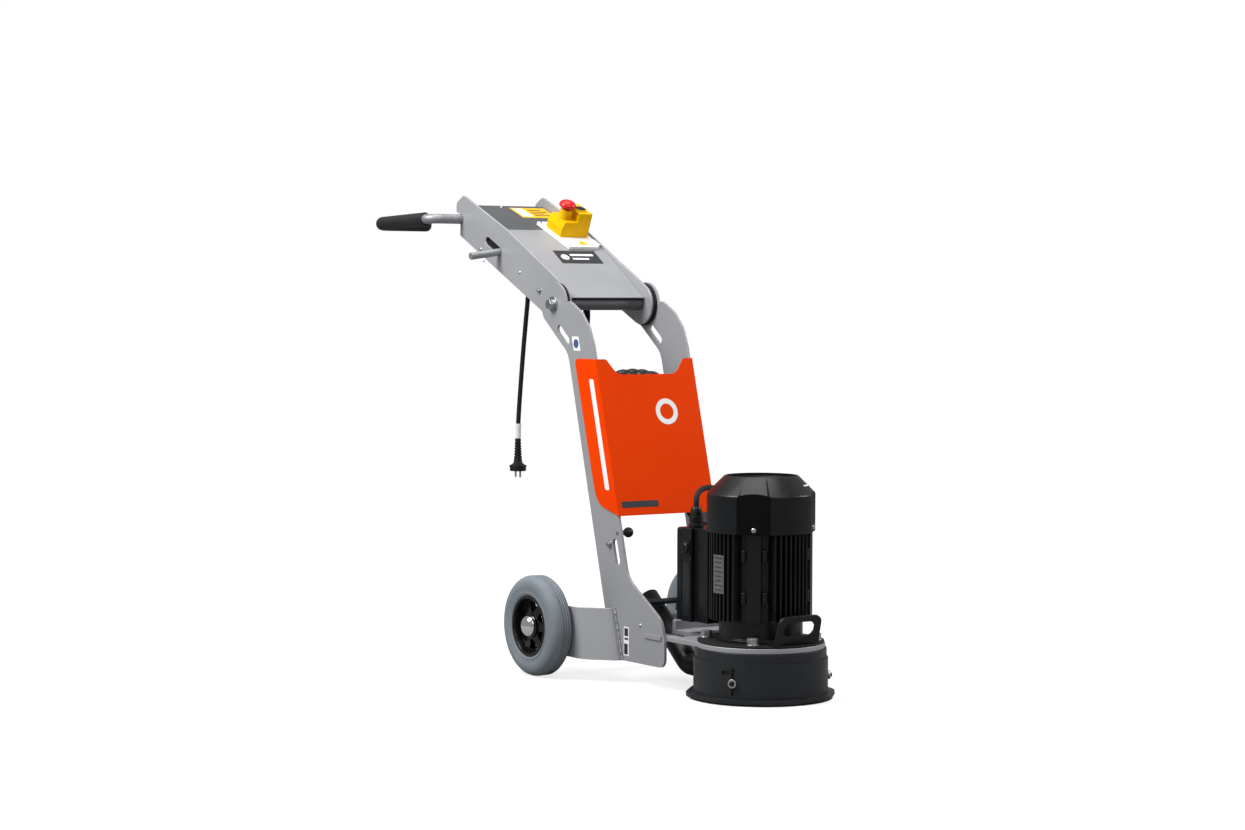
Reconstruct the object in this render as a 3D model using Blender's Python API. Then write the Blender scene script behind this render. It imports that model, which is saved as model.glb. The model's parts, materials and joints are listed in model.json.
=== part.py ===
"""A walk-behind single-disc floor grinder: head, leaning frame, wheels, tilting console and mains lead.

Metres, +Z up. The drawing axes put the spindle at x = 0, y = 0 on the floor, with +Y towards the
handlebar, -Y ahead of the machine and -X on the operator's right. The root empty moves all of it so that
the origin lies under the middle of the machine's length.
"""

import math

import bmesh
import bpy
from mathutils import Matrix, Vector

GAP = 0.0003  # running and seating clearance between neighbouring pieces
WELD = 0.00001
ARC_STEP = math.radians(22)
SMALL_STEPS = 12
ROUND_STEPS = 20
LARGE_STEPS = 36

# head and tool
DISC_RADIUS = 0.125
DISC_AIR = 0.004
SHROUD_WALL = 0.003
SKIRT_WALL = 0.0027
FLANGE_REACH = 0.1455  # to each flat of the eight-sided flange
SHROUD_BOTTOM = 0.012
SKIRT_TOP = 0.083
FLANGE_BOTTOM = 0.0045
FLANGE_TOP = 0.0125
BRUSH_BOTTOM = 0.0008
SEGMENT_HEIGHT = 0.010
DISC_THICKNESS = 0.008
PLATE_BOTTOM = 0.102
PLATE_THICKNESS = 0.010
PAD_THICKNESS = 0.0042
CLAMP_HEIGHT = 0.0435
CLAMP_ANGLES = (math.radians(-150.5), math.radians(-29.5))
SKIRT_LIFT = 0.020
STUD_RADIUS = 0.003
CLAMP_NUT_RADIUS = 0.009

# motor
SHAFT_RADIUS = 0.012
BEARING_RADIUS = 0.026
BELL_RADIUS = 0.084
BELL_TOP = 0.1595
MOTOR_BOLT_CIRCLE = 0.110
FRAME_TOP = 0.3327
STATOR_BORE = 0.045
STATOR_RADIUS = 0.0697
CORE_RADIUS = 0.088
FIN_RADIUS = 0.106
FIN_PITCH = 0.011
FIN_WIDTH = 0.0042
FINS_PER_SIDE = 8
BOSS_HALF = 0.014
BOSS_RADIUS = 0.101
COVER_RADIUS = 0.110
COVER_SHOULDER = 0.409
COVER_TOP = 0.445
COVER_MOUTH = 0.0705
COVER_WALL = 0.010
COVER_FLAT = 0.1046
BOX_HALF = 0.065
BOX_NECK_HALF = 0.055
BOX_BOTTOM = 0.139
BOX_TOP = 0.330
BOX_NECK_DEPTH = 0.043
BOX_DEPTH = 0.036
LID_DEPTH = 0.014
BOX_WALL = 0.004
GLAND_X = -0.045
GLAND_HEIGHT = 0.043

# leaning frame
SIDE_HALF = 0.1225  # outer face of each side plate
SIDE_WALL = 0.006
TOE_FRONT = 0.161
TOE_BOTTOM = 0.047
HEEL_REAR = 0.3505
KNEE = (0.2954, 0.2198)
PIVOT_Y = 0.580
PIVOT_Z = 0.783
LOBE_RADIUS = 0.048
SLOT_LENGTH = 0.057
SLOT_WIDTH = 0.017
EAR_FRONT = 0.171
EAR_REAR = 0.231
PLATE_REAR = 0.256
CROSSBAR_HEIGHT = 0.019
CROSSBAR_DEPTH = 0.012
TONGUE_FRONT = 0.050
PIPE_OPENING_X = (-0.092, -0.036)
PIPE_OPENING_FRONT = 0.140
TIE_RADIUS = 0.0065
TIE_PLACE = (0.345, 0.159)

# front cover and lifting grip
COVER_SHEET = 0.002
COVER_BOTTOM_Z = 0.3455
COVER_TOP_Z = 0.6685
COVER_STANDOFF = 0.005
FLANGE_TOP_DEPTH = 0.082
FLANGE_LOW_DEPTH = 0.064
NOTCH_DEPTH = 0.0325
NOTCH_HALF_TOP = 0.099
NOTCH_HALF_BOTTOM = 0.075
GRIP_BAR_Z = 0.632
GRIP_BAR_RADIUS = 0.0145
GRIP_BAR_BOW = 0.026

# wheels
WHEEL_RADIUS = 0.1062
TYRE_WIDTH = 0.050
RIM_RADIUS = 0.0645
WHEEL_INNER_X = 0.187
AXLE_Y = 0.5019
AXLE_RADIUS = 0.009
HUB_RADIUS = 0.020
CAP_RADIUS = 0.023
CAP_HEIGHT = 0.015
ARM_X = 0.183
ARM_SHEET = 0.005
ARM_BOTTOM = 0.047
ARM_TOP = 0.153
ARM_ROOT_Y = 0.329
ARM_REAR_Y = 0.532
ARM_LEAN = 0.269

# console and handlebar
CONSOLE_HALF = 0.108
CONSOLE_WALL = 0.005
CONSOLE_END_RADIUS = 0.044
CONSOLE_TILT = math.radians(26.0)
CONSOLE_TOP_BREAK = (0.797, 0.9475)
CONSOLE_TIP = (0.985, 1.028)
DECK_FRONT = (0.563, 0.7976)
DECK_CREASE = (0.719, 0.902)
DECK_CREST = (0.825, 0.9475)
DECK_REAR = (0.982, 1.006)
DECK_SHEET = 0.002
PIVOT_TUBE_RADIUS = 0.013
BOLT_RADIUS = 0.006
WASHER_RADIUS = 0.017
FRICTION_RADIUS = 0.046
BAR_RADIUS = 0.011
BAR_WALL = 0.0025
BAR_Y = 0.993
BAR_Z = 0.974
HORN_X = 0.186
HORN_REAR_Y = 1.2425
HORN_REAR_Z = 0.9665
HORN_END_X = 0.046
ELBOW_RADIUS = 0.024
HORN_RADIUS = 0.035
HORN_GRIP_RADIUS = 0.0155
HORN_GRIP_FRONT = 1.018
RELEASE_PLACE = (0.825, 0.898)
RELEASE_SLOT = 0.057
RELEASE_SLOT_WIDTH = 0.018
RELEASE_RADIUS = 0.0074
RELEASE_REACH = 0.073
RELEASE_DROP = 0.0105
RELEASE_BLOCK_X = 0.008

# switch, measured in the deck's middle panel: x across, s up the slope, h square to it
SWITCH_PLATE_X = (0.007, 0.098)
SWITCH_PLATE_S = (0.001, 0.148)
SWITCH_PLATE_TOP = 0.008
HOUSING_X = (0.014, 0.086)
HOUSING_S = (0.055, 0.118)
HOUSING_SPLIT_X = 0.052
HOUSING_LOW = 0.043
HOUSING_HIGH = 0.064
STOP_PLACE = (0.033, 0.082)
STOP_RADIUS = 0.0192
STOP_STEM = 0.008
STOP_COLLAR = 0.0135
STOP_TRAVEL = 0.005
START_PLACE = (0.069, 0.082)
START_RADIUS = 0.0122
START_TRAVEL = 0.003
CABLE_BOX_X = (-0.046, 0.090)
CABLE_BOX_S = (0.010, 0.112)
CABLE_BOX_DEPTH = 0.048
CABLE_BOX_WALL = 0.003

# knob that locks the column
KNOB_PLACE = (0.332, 0.310)
KNOB_RADIUS = 0.0105
KNOB_CENTRE_X = 0.095
KNOB_PIN = 0.004
KNOB_TRAVEL = 0.007

# cords
CORD_RADIUS = 0.0052
CABLE_RADIUS = 0.0058
CORD_ROUTE = (
    (-0.030, 0.8260, 0.8675),
    (-0.030, 0.8262, 0.8400),
    (-0.030, 0.8300, 0.8000),
    (-0.030, 0.8390, 0.7450),
    (-0.030, 0.8480, 0.6900),
    (-0.030, 0.8560, 0.6350),
    (-0.030, 0.8635, 0.5800),
    (-0.030, 0.8700, 0.5250),
    (-0.030, 0.8722, 0.4800),
    (-0.030, 0.8722, 0.4400),
)
CABLE_ROUTE = (
    (-0.045, 0.1600, 0.3736),
    (-0.044, 0.1610, 0.3860),
    (-0.036, 0.1670, 0.3990),
    (-0.012, 0.1810, 0.4070),
    (0.026, 0.2020, 0.4060),
    (0.062, 0.2280, 0.3900),
    (0.087, 0.2560, 0.3610),
    (0.098, 0.2920, 0.3300),
    (0.096, 0.3320, 0.3180),
    (0.088, 0.3660, 0.3360),
    (0.074, 0.3840, 0.3750),
    (0.045, 0.4030, 0.4200),
    (0.000, 0.4300, 0.4650),
    (-0.050, 0.4650, 0.5100),
    (-0.080, 0.5000, 0.5600),
    (-0.088, 0.5300, 0.6050),
    (-0.082, 0.5620, 0.6400),
    (-0.062, 0.5900, 0.6720),
    (-0.030, 0.6120, 0.7060),
    (-0.008, 0.6270, 0.7380),
    (0.000, 0.6370, 0.7720),
    (0.006, 0.6560, 0.8160),
    (0.008, 0.6919, 0.8569),
    (0.008, 0.7195, 0.8687),
)
PLUG_LENGTH = 0.049
PLUG_RADIUS = 0.0195

FINISHES = {
    "frame_grey": ((0.37, 0.38, 0.40), 0.38, 0.35),
    "deck_grey": ((0.22, 0.23, 0.24), 0.45, 0.3),
    "cover_orange": ((0.83, 0.10, 0.01), 0.4, 0.0),
    "motor_black": ((0.022, 0.023, 0.025), 0.5, 0.2),
    "black_plastic": ((0.018, 0.018, 0.019), 0.45, 0.0),
    "rubber": ((0.03, 0.03, 0.032), 0.85, 0.0),
    "tyre_grey": ((0.23, 0.26, 0.29), 0.8, 0.0),
    "zinc": ((0.66, 0.68, 0.70), 0.3, 1.0),
    "steel": ((0.42, 0.43, 0.45), 0.35, 1.0),
    "copper": ((0.52, 0.24, 0.10), 0.4, 1.0),
    "switch_yellow": ((0.90, 0.62, 0.02), 0.4, 0.0),
    "switch_white": ((0.80, 0.80, 0.78), 0.4, 0.0),
    "stop_red": ((0.75, 0.03, 0.02), 0.35, 0.0),
}

# values that follow from the ones above
SHROUD_INNER = DISC_RADIUS + DISC_AIR
SHROUD_OUTER = SHROUD_INNER + SHROUD_WALL
SKIRT_INNER = SHROUD_OUTER + GAP
SKIRT_OUTER = SKIRT_INNER + SKIRT_WALL
PLATE_TOP = PLATE_BOTTOM + PLATE_THICKNESS
PAD_BOTTOM = PLATE_TOP + GAP
PAD_TOP = PAD_BOTTOM + PAD_THICKNESS
BELL_BOTTOM = PAD_TOP + GAP
SIDE_INNER = SIDE_HALF - SIDE_WALL
PLATE_HALF = SIDE_INNER - GAP
CONSOLE_INNER = CONSOLE_HALF - CONSOLE_WALL
DECK_HALF = CONSOLE_INNER - GAP
LEAN = (PIVOT_Y - KNEE[0], PIVOT_Z - KNEE[1])
REAR_REACH = HORN_REAR_Y + HORN_GRIP_RADIUS
ORIGIN_Y = (REAR_REACH - FLANGE_REACH) / 2
BOX_FRONT = FIN_RADIUS + GAP
DECK_ANGLE = math.atan2(DECK_CREST[1] - DECK_CREASE[1], DECK_CREST[0] - DECK_CREASE[0])
DECK_COS = math.cos(DECK_ANGLE)
DECK_SIN = math.sin(DECK_ANGLE)
PIVOTS = {
    "frame": (0.0, 0.0, 0.0),
    "console": (0.0, PIVOT_Y, PIVOT_Z),
    "rotor": (0.0, 0.0, 0.0),
    "skirt": (0.0, 0.0, 0.0),
    "wheel_right": (-WHEEL_INNER_X, AXLE_Y, WHEEL_RADIUS),
    "wheel_left": (WHEEL_INNER_X, AXLE_Y, WHEEL_RADIUS),
    "knob": (-SIDE_HALF, *KNOB_PLACE),
    "release": (-CONSOLE_HALF, *RELEASE_PLACE),
    "stop": (STOP_PLACE[0], DECK_CREASE[0] + STOP_PLACE[1] * DECK_COS, DECK_CREASE[1] + STOP_PLACE[1] * DECK_SIN),
    "start": (START_PLACE[0], DECK_CREASE[0] + START_PLACE[1] * DECK_COS, DECK_CREASE[1] + START_PLACE[1] * DECK_SIN),
}
CARRIERS = {"release": "console", "stop": "console", "start": "console"}


# scene, bodies and finishes


def clear_scene():
    for item in list(bpy.data.objects):
        bpy.data.objects.remove(item, do_unlink=True)


def make_bodies():
    """One empty on each joint's axis, all under the root empty."""
    root = bpy.data.objects.new("grinder_root", None)
    root.location = (0.0, -ORIGIN_Y, 0.0)
    bpy.context.scene.collection.objects.link(root)
    bodies = {}
    for name, place in PIVOTS.items():
        carrier = CARRIERS.get(name)
        empty = bpy.data.objects.new(name + "_axis", None)
        empty.location = Vector(place) - Vector(PIVOTS[carrier] if carrier else (0.0, 0.0, 0.0))
        empty.parent = bodies[carrier] if carrier else root
        bpy.context.scene.collection.objects.link(empty)
        bodies[name] = empty
    return bodies


def finish(name):
    found = bpy.data.materials.get(name)
    if found:
        return found
    colour, roughness, metallic = FINISHES[name]
    made = bpy.data.materials.new(name)
    made.use_nodes = True
    shader = made.node_tree.nodes["Principled BSDF"]
    shader.inputs["Base Color"].default_value = (*colour, 1.0)
    shader.inputs["Roughness"].default_value = roughness
    shader.inputs["Metallic"].default_value = metallic
    made.diffuse_color = (*colour, 1.0)
    return made


def add(name, mesh, look, body="frame", smooth=True):
    """Makes the object from a bmesh drawn in the drawing axes, with its origin on its body's axis."""
    place = Vector(PIVOTS[body])
    bmesh.ops.translate(mesh, vec=-place, verts=mesh.verts)
    data = bpy.data.meshes.new(name)
    mesh.to_mesh(data)
    mesh.free()
    if smooth:
        data.shade_smooth()
        data.set_sharp_from_angle(angle=math.radians(35))
    made = bpy.data.objects.new(name, data)
    made.data.materials.append(finish(look))
    made.parent = BODIES[body]
    bpy.context.scene.collection.objects.link(made)
    return made


def combine(target, tool_mesh, operation, body="frame"):
    """A live Boolean on target; its tool stays hidden as a wire helper."""
    tool = add(target.name + "_" + operation.lower(), tool_mesh, "steel", body, smooth=False)
    tool.hide_render = True
    tool.display_type = "WIRE"
    change = target.modifiers.new(operation.title(), "BOOLEAN")
    change.operation = operation
    change.solver = "EXACT"
    change.object = tool


def cut(target, tool_mesh, body="frame"):
    combine(target, tool_mesh, "DIFFERENCE", body)


def join(target, tool_mesh, body="frame"):
    combine(target, tool_mesh, "UNION", body)


# outlines in a plane


def rounded(corners):
    """An outline from (u, v, radius) corners, each turned into an arc of its radius."""
    outline = []
    count = len(corners)
    for i, (u, v, radius) in enumerate(corners):
        here = Vector((u, v))
        if radius <= 0:
            outline.append((u, v))
            continue
        before = (Vector(corners[i - 1][:2]) - here).normalized()
        after = (Vector(corners[(i + 1) % count][:2]) - here).normalized()
        half = before.angle(after) / 2
        reach = radius / math.tan(half)
        centre = here + (before + after).normalized() * radius / math.sin(half)
        start = here + before * reach - centre
        end = here + after * reach - centre
        turn = math.atan2(start.x * end.y - start.y * end.x, start.dot(end))
        steps = max(1, round(abs(turn) / ARC_STEP))
        for k in range(steps + 1):
            angle = turn * k / steps
            x = start.x * math.cos(angle) - start.y * math.sin(angle)
            y = start.x * math.sin(angle) + start.y * math.cos(angle)
            outline.append((centre.x + x, centre.y + y))
    return outline


def arc(u, v, radius, first, last, steps):
    """Points on a circle's stretch, ends included."""
    points = []
    for k in range(steps + 1):
        angle = first + (last - first) * k / steps
        points.append((u + radius * math.cos(angle), v + radius * math.sin(angle)))
    return points


def circle(u, v, radius, steps=ROUND_STEPS):
    return arc(u, v, radius, 0.0, math.tau, steps)[:-1]


def obround(u, v, length, width, angle):
    """A slot's outline, its length measured over the round ends."""
    reach = (length - width) / 2
    du = reach * math.cos(angle)
    dv = reach * math.sin(angle)
    quarter = math.pi / 2
    outline = arc(u + du, v + dv, width / 2, angle - quarter, angle + quarter, 5)
    outline += arc(u - du, v - dv, width / 2, angle + quarter, angle + 3 * quarter, 5)
    return outline


def box_outline(low_u, low_v, high_u, high_v, radius=0.0):
    corners = ((low_u, low_v), (high_u, low_v), (high_u, high_v), (low_u, high_v))
    return rounded([(u, v, radius) for u, v in corners])


def ribbon(corners, thickness):
    """The outline of a bent sheet's edge, with its bend line through the (u, v, radius) corners."""
    inner = rounded([(*corners[0][:2], 0), *corners[1:-1], (*corners[-1][:2], 0)])
    sides = ([], [])
    for i, point in enumerate(inner):
        here = Vector(point)
        into = here - Vector(inner[i - 1]) if i else Vector(inner[1]) - here
        out = Vector(inner[i + 1]) - here if i + 1 < len(inner) else into
        into.normalize()
        out.normalize()
        across = Vector((-(into.y + out.y), into.x + out.x)).normalized()
        stretch = thickness / 2 / max(0.5, across.dot(Vector((-into.y, into.x))))
        sides[0].append(tuple(here + across * stretch))
        sides[1].append(tuple(here - across * stretch))
    return sides[0] + sides[1][::-1]


# solids


def place(u, v, depth, axis):
    """Plane coordinates to space: X takes (y, z), Y takes (x, z) and Z takes (x, y)."""
    if axis == "X":
        return Vector((depth, u, v))
    if axis == "Y":
        return Vector((u, depth, v))
    return Vector((u, v, depth))


def face_out(mesh):
    bmesh.ops.recalc_face_normals(mesh, faces=mesh.faces[:])
    if mesh.calc_volume(signed=True) < 0:
        bmesh.ops.reverse_faces(mesh, faces=mesh.faces[:])
    return mesh


def prism(outline, start, end, axis, holes=()):
    mesh = bmesh.new()
    for loop in (outline, *holes):
        verts = [mesh.verts.new(place(u, v, start, axis)) for u, v in loop]
        for first, second in zip(verts, verts[1:] + verts[:1]):
            mesh.edges.new((first, second))
    bmesh.ops.triangle_fill(mesh, use_beauty=True, use_dissolve=False, edges=mesh.edges[:])
    grown = bmesh.ops.extrude_face_region(mesh, geom=mesh.faces[:])["geom"]
    moved = [item for item in grown if isinstance(item, bmesh.types.BMVert)]
    bmesh.ops.translate(mesh, vec=place(0.0, 0.0, end - start, axis), verts=moved)
    return face_out(mesh)


def block(low, high):
    return prism(box_outline(low[0], low[1], high[0], high[1]), low[2], high[2], "Z")


def turned(profile, centre=(0.0, 0.0, 0.0), axis=(0.0, 0.0, 1.0), steps=ROUND_STEPS):
    """A turned solid from (radius, height) points; the profile closes itself unless it ends on the axis."""
    mesh = bmesh.new()
    verts = [mesh.verts.new((radius, 0.0, height)) for radius, height in profile]
    pairs = list(zip(verts, verts[1:]))
    if profile[0][0] > 0 or profile[-1][0] > 0:
        pairs.append((verts[-1], verts[0]))
    edges = [mesh.edges.new(pair) for pair in pairs]
    bmesh.ops.spin(
        mesh,
        geom=verts + edges,
        cent=(0.0, 0.0, 0.0),
        axis=(0.0, 0.0, 1.0),
        angle=math.tau,
        steps=steps,
        use_merge=True,
    )
    bmesh.ops.remove_doubles(mesh, verts=mesh.verts[:], dist=WELD)
    face_out(mesh)
    turn = Vector((0.0, 0.0, 1.0)).rotation_difference(Vector(axis)).to_matrix().to_4x4()
    mesh.transform(Matrix.Translation(centre) @ turn)
    return mesh


def rod(start, end, radius, steps=ROUND_STEPS):
    along = Vector(end) - Vector(start)
    profile = [(0.0, along.length), (radius, along.length), (radius, 0.0), (0.0, 0.0)]
    return turned(profile, start, along.normalized(), steps)


def bent(corners):
    """A tube's centre line through (x, y, z, radius) corners, straight with an arc at each corner."""
    line = []
    for i, (x, y, z, radius) in enumerate(corners):
        here = Vector((x, y, z))
        if radius <= 0 or i in (0, len(corners) - 1):
            line.append(here)
            continue
        before = (Vector(corners[i - 1][:3]) - here).normalized()
        after = (Vector(corners[i + 1][:3]) - here).normalized()
        half = before.angle(after) / 2
        reach = radius / math.tan(half)
        centre = here + (before + after).normalized() * radius / math.sin(half)
        start = here + before * reach - centre
        end = here + after * reach - centre
        steps = max(2, round(start.angle(end) / ARC_STEP))
        for k in range(steps + 1):
            line.append(centre + start.normalized().slerp(end.normalized(), k / steps) * radius)
    return line


def flowing(points, spacing):
    """A smooth curve through the points, read off about every spacing."""
    line = []
    ends = [2 * Vector(points[0]) - Vector(points[1]), *map(Vector, points)]
    ends.append(2 * Vector(points[-1]) - Vector(points[-2]))
    for a, b, c, d in zip(ends, ends[1:], ends[2:], ends[3:]):
        steps = max(1, round((c - b).length / spacing))
        for k in range(steps):
            t = k / steps
            line.append(0.5 * (2 * b + (c - a) * t + (2 * a - 5 * b + 4 * c - d) * t**2 + (3 * b - a - 3 * c + d) * t**3))
    line.append(ends[-2])
    return line


def tube(name, line, radius, look, body, wall=0.0, resolution=2):
    """A round tube along the line: solid with end caps, or open at both ends where it has a wall."""
    data = bpy.data.curves.new(name, "CURVE")
    data.dimensions = "3D"
    data.bevel_depth = radius
    data.bevel_resolution = resolution
    data.use_fill_caps = wall == 0
    spline = data.splines.new("POLY")
    spline.points.add(len(line) - 1)
    for point, here in zip(spline.points, line):
        point.co = (*(Vector(here) - Vector(PIVOTS[body])), 1.0)
    data.materials.append(finish(look))
    made = bpy.data.objects.new(name, data)
    made.parent = BODIES[body]
    bpy.context.scene.collection.objects.link(made)
    if wall > 0:
        hollow = made.modifiers.new("Wall", "SOLIDIFY")
        hollow.thickness = wall
        hollow.offset = -1.0
    return made


def mirrored(line):
    return [Vector((-point.x, point.y, point.z)) for point in line]


# places on the leaning frame


def front_edge(z):
    """y of the side plates' straight front edge at a height."""
    return KNEE[0] + (z - KNEE[1]) * LEAN_SLOPE


def rear_edge(z):
    return HEEL_REAR + (z - TOE_BOTTOM) * LEAN_SLOPE


LEAN_SLOPE = 0.2705 * (LEAN[0] / 0.2846) / (LEAN[1] / 0.5632)
TOP_FRONT = (PIVOT_Y - 0.1344, PIVOT_Z - 0.0205)
PEAK = (PIVOT_Y - 0.056, PIVOT_Z + 0.008)
TOP_REAR = (PIVOT_Y - 0.0603, PIVOT_Z - 0.1046)


def side_outline():
    """Toe, knee, leaning column, peak, pivot lobe, and back down the rear edge."""
    shin_top = (TOE_FRONT + 0.011, 0.142)
    lobe_last = math.radians(-42)
    lobe = arc(PIVOT_Y, PIVOT_Z, LOBE_RADIUS, math.radians(166), lobe_last, 16)
    outline = rounded(
        [
            (HEEL_REAR, TOE_BOTTOM, 0.005),
            (TOE_FRONT, TOE_BOTTOM, 0.018),
            (TOE_FRONT, 0.100, 0.012),
            (*shin_top, 0.040),
            (*KNEE, 0.050),
            (front_edge(TOP_FRONT[1]), TOP_FRONT[1], 0.130),
            (*PEAK, 0.006),
            (PEAK[0] + 0.006, PIVOT_Z - 0.006, 0.003),
            (lobe[0][0], lobe[0][1], 0.0),
            (lobe[-1][0], lobe[-1][1], 0.0),
            (rear_edge(TOP_REAR[1]), TOP_REAR[1], 0.040),
        ]
    )
    first = outline.index(lobe[0])
    return outline[: first + 1] + lobe[1:-1] + outline[first + 1 :]


def side_holes():
    lean = math.atan2(1.0, LEAN_SLOPE)
    low_z = KNEE[1] + 0.050
    return [
        box_outline(EAR_FRONT - GAP, PLATE_BOTTOM - GAP, EAR_REAR + GAP, PLATE_TOP + GAP),
        obround(PIVOT_Y - 0.0395, PIVOT_Z - 0.065, SLOT_LENGTH, SLOT_WIDTH, math.radians(38)),
        obround(front_edge(low_z) + 0.027, low_z, SLOT_LENGTH, SLOT_WIDTH, lean),
        circle(PIVOT_Y, PIVOT_Z, BOLT_RADIUS + GAP),
        circle(KNOB_PLACE[0], KNOB_PLACE[1], KNOB_PIN + GAP, 16),
    ]


def make_side_plates():
    for name, side in (("side_plate_right", -1), ("side_plate_left", 1)):
        mesh = prism(side_outline(), side * SIDE_INNER, side * SIDE_HALF, "X", side_holes())
        add(name, mesh, "frame_grey")


def make_base_plate():
    """Round under the motor, with a rear tongue whose ears pass through the side plates and which is open beside the pipe."""
    ear = SIDE_HALF + 0.003
    half = [
        (-PLATE_HALF, TONGUE_FRONT),
        (-PLATE_HALF, EAR_FRONT),
        (-ear, EAR_FRONT),
        (-ear, EAR_REAR),
        (-PLATE_HALF, EAR_REAR),
        (-PLATE_HALF, PLATE_REAR),
    ]
    tongue = half + [(-x, y) for x, y in half[::-1]]
    disc = prism(circle(0.0, 0.0, SHROUD_INNER, LARGE_STEPS), PLATE_BOTTOM, PLATE_TOP, "Z", [circle(0, 0, 0.045)])
    plate = add("base_plate", disc, "frame_grey")
    join(plate, prism(tongue, PLATE_BOTTOM, PLATE_TOP, "Z"))
    bar_low = (-PLATE_HALF, PLATE_REAR - CROSSBAR_DEPTH, PLATE_TOP - 0.002)
    bar_high = (PLATE_HALF, PLATE_REAR, PLATE_TOP + CROSSBAR_HEIGHT)
    join(plate, block(bar_low, bar_high))
    left, right = PIPE_OPENING_X
    cut(plate, block((left, PIPE_OPENING_FRONT, PLATE_BOTTOM - 0.01), (right, PLATE_REAR + 0.01, bar_high[2] + 0.01)))
    pad = [(0.045, PAD_BOTTOM), (SHROUD_INNER - 0.002, PAD_BOTTOM), (SHROUD_INNER - 0.002, PAD_TOP), (0.045, PAD_TOP)]
    add("isolation_pad", turned(pad, steps=LARGE_STEPS), "rubber")


def make_tie_rod():
    y, z = TIE_PLACE
    add("tie_rod", rod((-SIDE_INNER + GAP, y, z), (SIDE_INNER - GAP, y, z), TIE_RADIUS, 16), "steel")


def cover_outline(inset):
    """Side view of the front cover; the inset one is the space inside it."""
    front_low = front_edge(COVER_BOTTOM_Z) - COVER_STANDOFF + inset
    front_high = front_edge(COVER_TOP_Z) - COVER_STANDOFF + inset
    reach = 0.02 if inset else 0.0
    drop = 0.05 if inset else 0.0
    low = Vector((front_low, COVER_BOTTOM_Z))
    high = Vector((front_high, COVER_TOP_Z))
    up = (high - low).normalized()
    low -= up * drop
    high += up * drop
    return rounded(
        [
            (low.x, low.y, 0.0),
            (low.x + FLANGE_LOW_DEPTH + 0.016 + reach, low.y + 0.020 * (not inset), 0.030 * (not inset)),
            (low.x + FLANGE_LOW_DEPTH + 0.031 + reach, low.y + 0.062, 0.0),
            (high.x + FLANGE_TOP_DEPTH + reach, high.y, 0.014 * (not inset)),
            (high.x, high.y, 0.0),
        ]
    )


def make_front_cover():
    half = SIDE_HALF + GAP + COVER_SHEET
    inner = SIDE_HALF + GAP
    cover = add("front_cover", prism(cover_outline(0.0), -half, half, "X"), "cover_orange")
    cut(cover, prism(cover_outline(COVER_SHEET), -inner, inner, "X"))
    notch = rounded(
        [
            (-NOTCH_HALF_TOP, COVER_TOP_Z + 0.01, 0.0),
            (-NOTCH_HALF_BOTTOM, COVER_TOP_Z - NOTCH_DEPTH, 0.012),
            (NOTCH_HALF_BOTTOM, COVER_TOP_Z - NOTCH_DEPTH, 0.012),
            (NOTCH_HALF_TOP, COVER_TOP_Z + 0.01, 0.0),
        ]
    )
    y = front_edge(COVER_TOP_Z)
    cut(cover, prism(notch, y - 0.05, y + 0.03, "Y"))


def lifting_line():
    y = (front_edge(GRIP_BAR_Z) + rear_edge(GRIP_BAR_Z)) / 2
    half = SIDE_INNER - GAP
    arch = half - 0.010
    line = [Vector((-half, y, GRIP_BAR_Z - GRIP_BAR_BOW))]
    for k in range(13):
        x = arch * (k / 6 - 1)
        line.append(Vector((x, y, GRIP_BAR_Z - GRIP_BAR_BOW * (x / arch) ** 2)))
    line.append(Vector((half, y, GRIP_BAR_Z - GRIP_BAR_BOW)))
    return line


def make_lifting_grip():
    tube("lifting_grip", lifting_line(), GRIP_BAR_RADIUS, "black_plastic", "frame")


def make_carry_handle():
    """A foot on the pad and a hand-holed plate that leans ahead."""
    thickness = 0.005
    foot_y = -0.117
    foot = block((-0.054, foot_y, BELL_BOTTOM), (0.054, -0.0905, BELL_BOTTOM + thickness))
    outline = rounded([(-0.054, 0.0, 0.0), (0.054, 0.0, 0.0), (0.051, 0.060, 0.016), (-0.051, 0.060, 0.016)])
    plate = prism(outline, -thickness, 0.0, "Y", [obround(0.0, 0.0325, 0.078, 0.031, 0.0)])
    lean = Matrix.Rotation(math.radians(17), 4, "X")
    plate.transform(Matrix.Translation((0.0, foot_y + thickness, BELL_BOTTOM + 0.002)) @ lean)
    handle = add("carry_handle", foot, "motor_black")
    join(handle, plate)


def make_axle_brackets():
    for name, side in (("axle_bracket_right", -1), ("axle_bracket_left", 1)):
        corners = [
            (side * (SIDE_HALF + GAP), ARM_ROOT_Y, 0.0),
            (side * (SIDE_HALF + 0.012), ARM_ROOT_Y, 0.010),
            (side * ARM_X, ARM_ROOT_Y + 0.056, 0.045),
            (side * ARM_X, ARM_REAR_Y, 0.0),
        ]
        sheet = prism(ribbon(corners, ARM_SHEET), ARM_BOTTOM, ARM_TOP, "Z")
        middle = (ARM_BOTTOM + ARM_TOP) / 2
        for vert in sheet.verts:
            vert.co.y += ARM_LEAN * (vert.co.z - middle)
        bracket = add(name, sheet, "frame_grey")
        low = side * (ARM_X - 0.02)
        high = side * (ARM_X + 0.02)
        cut(bracket, rod((low, AXLE_Y, WHEEL_RADIUS), (high, AXLE_Y, WHEEL_RADIUS), AXLE_RADIUS + GAP))


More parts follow.
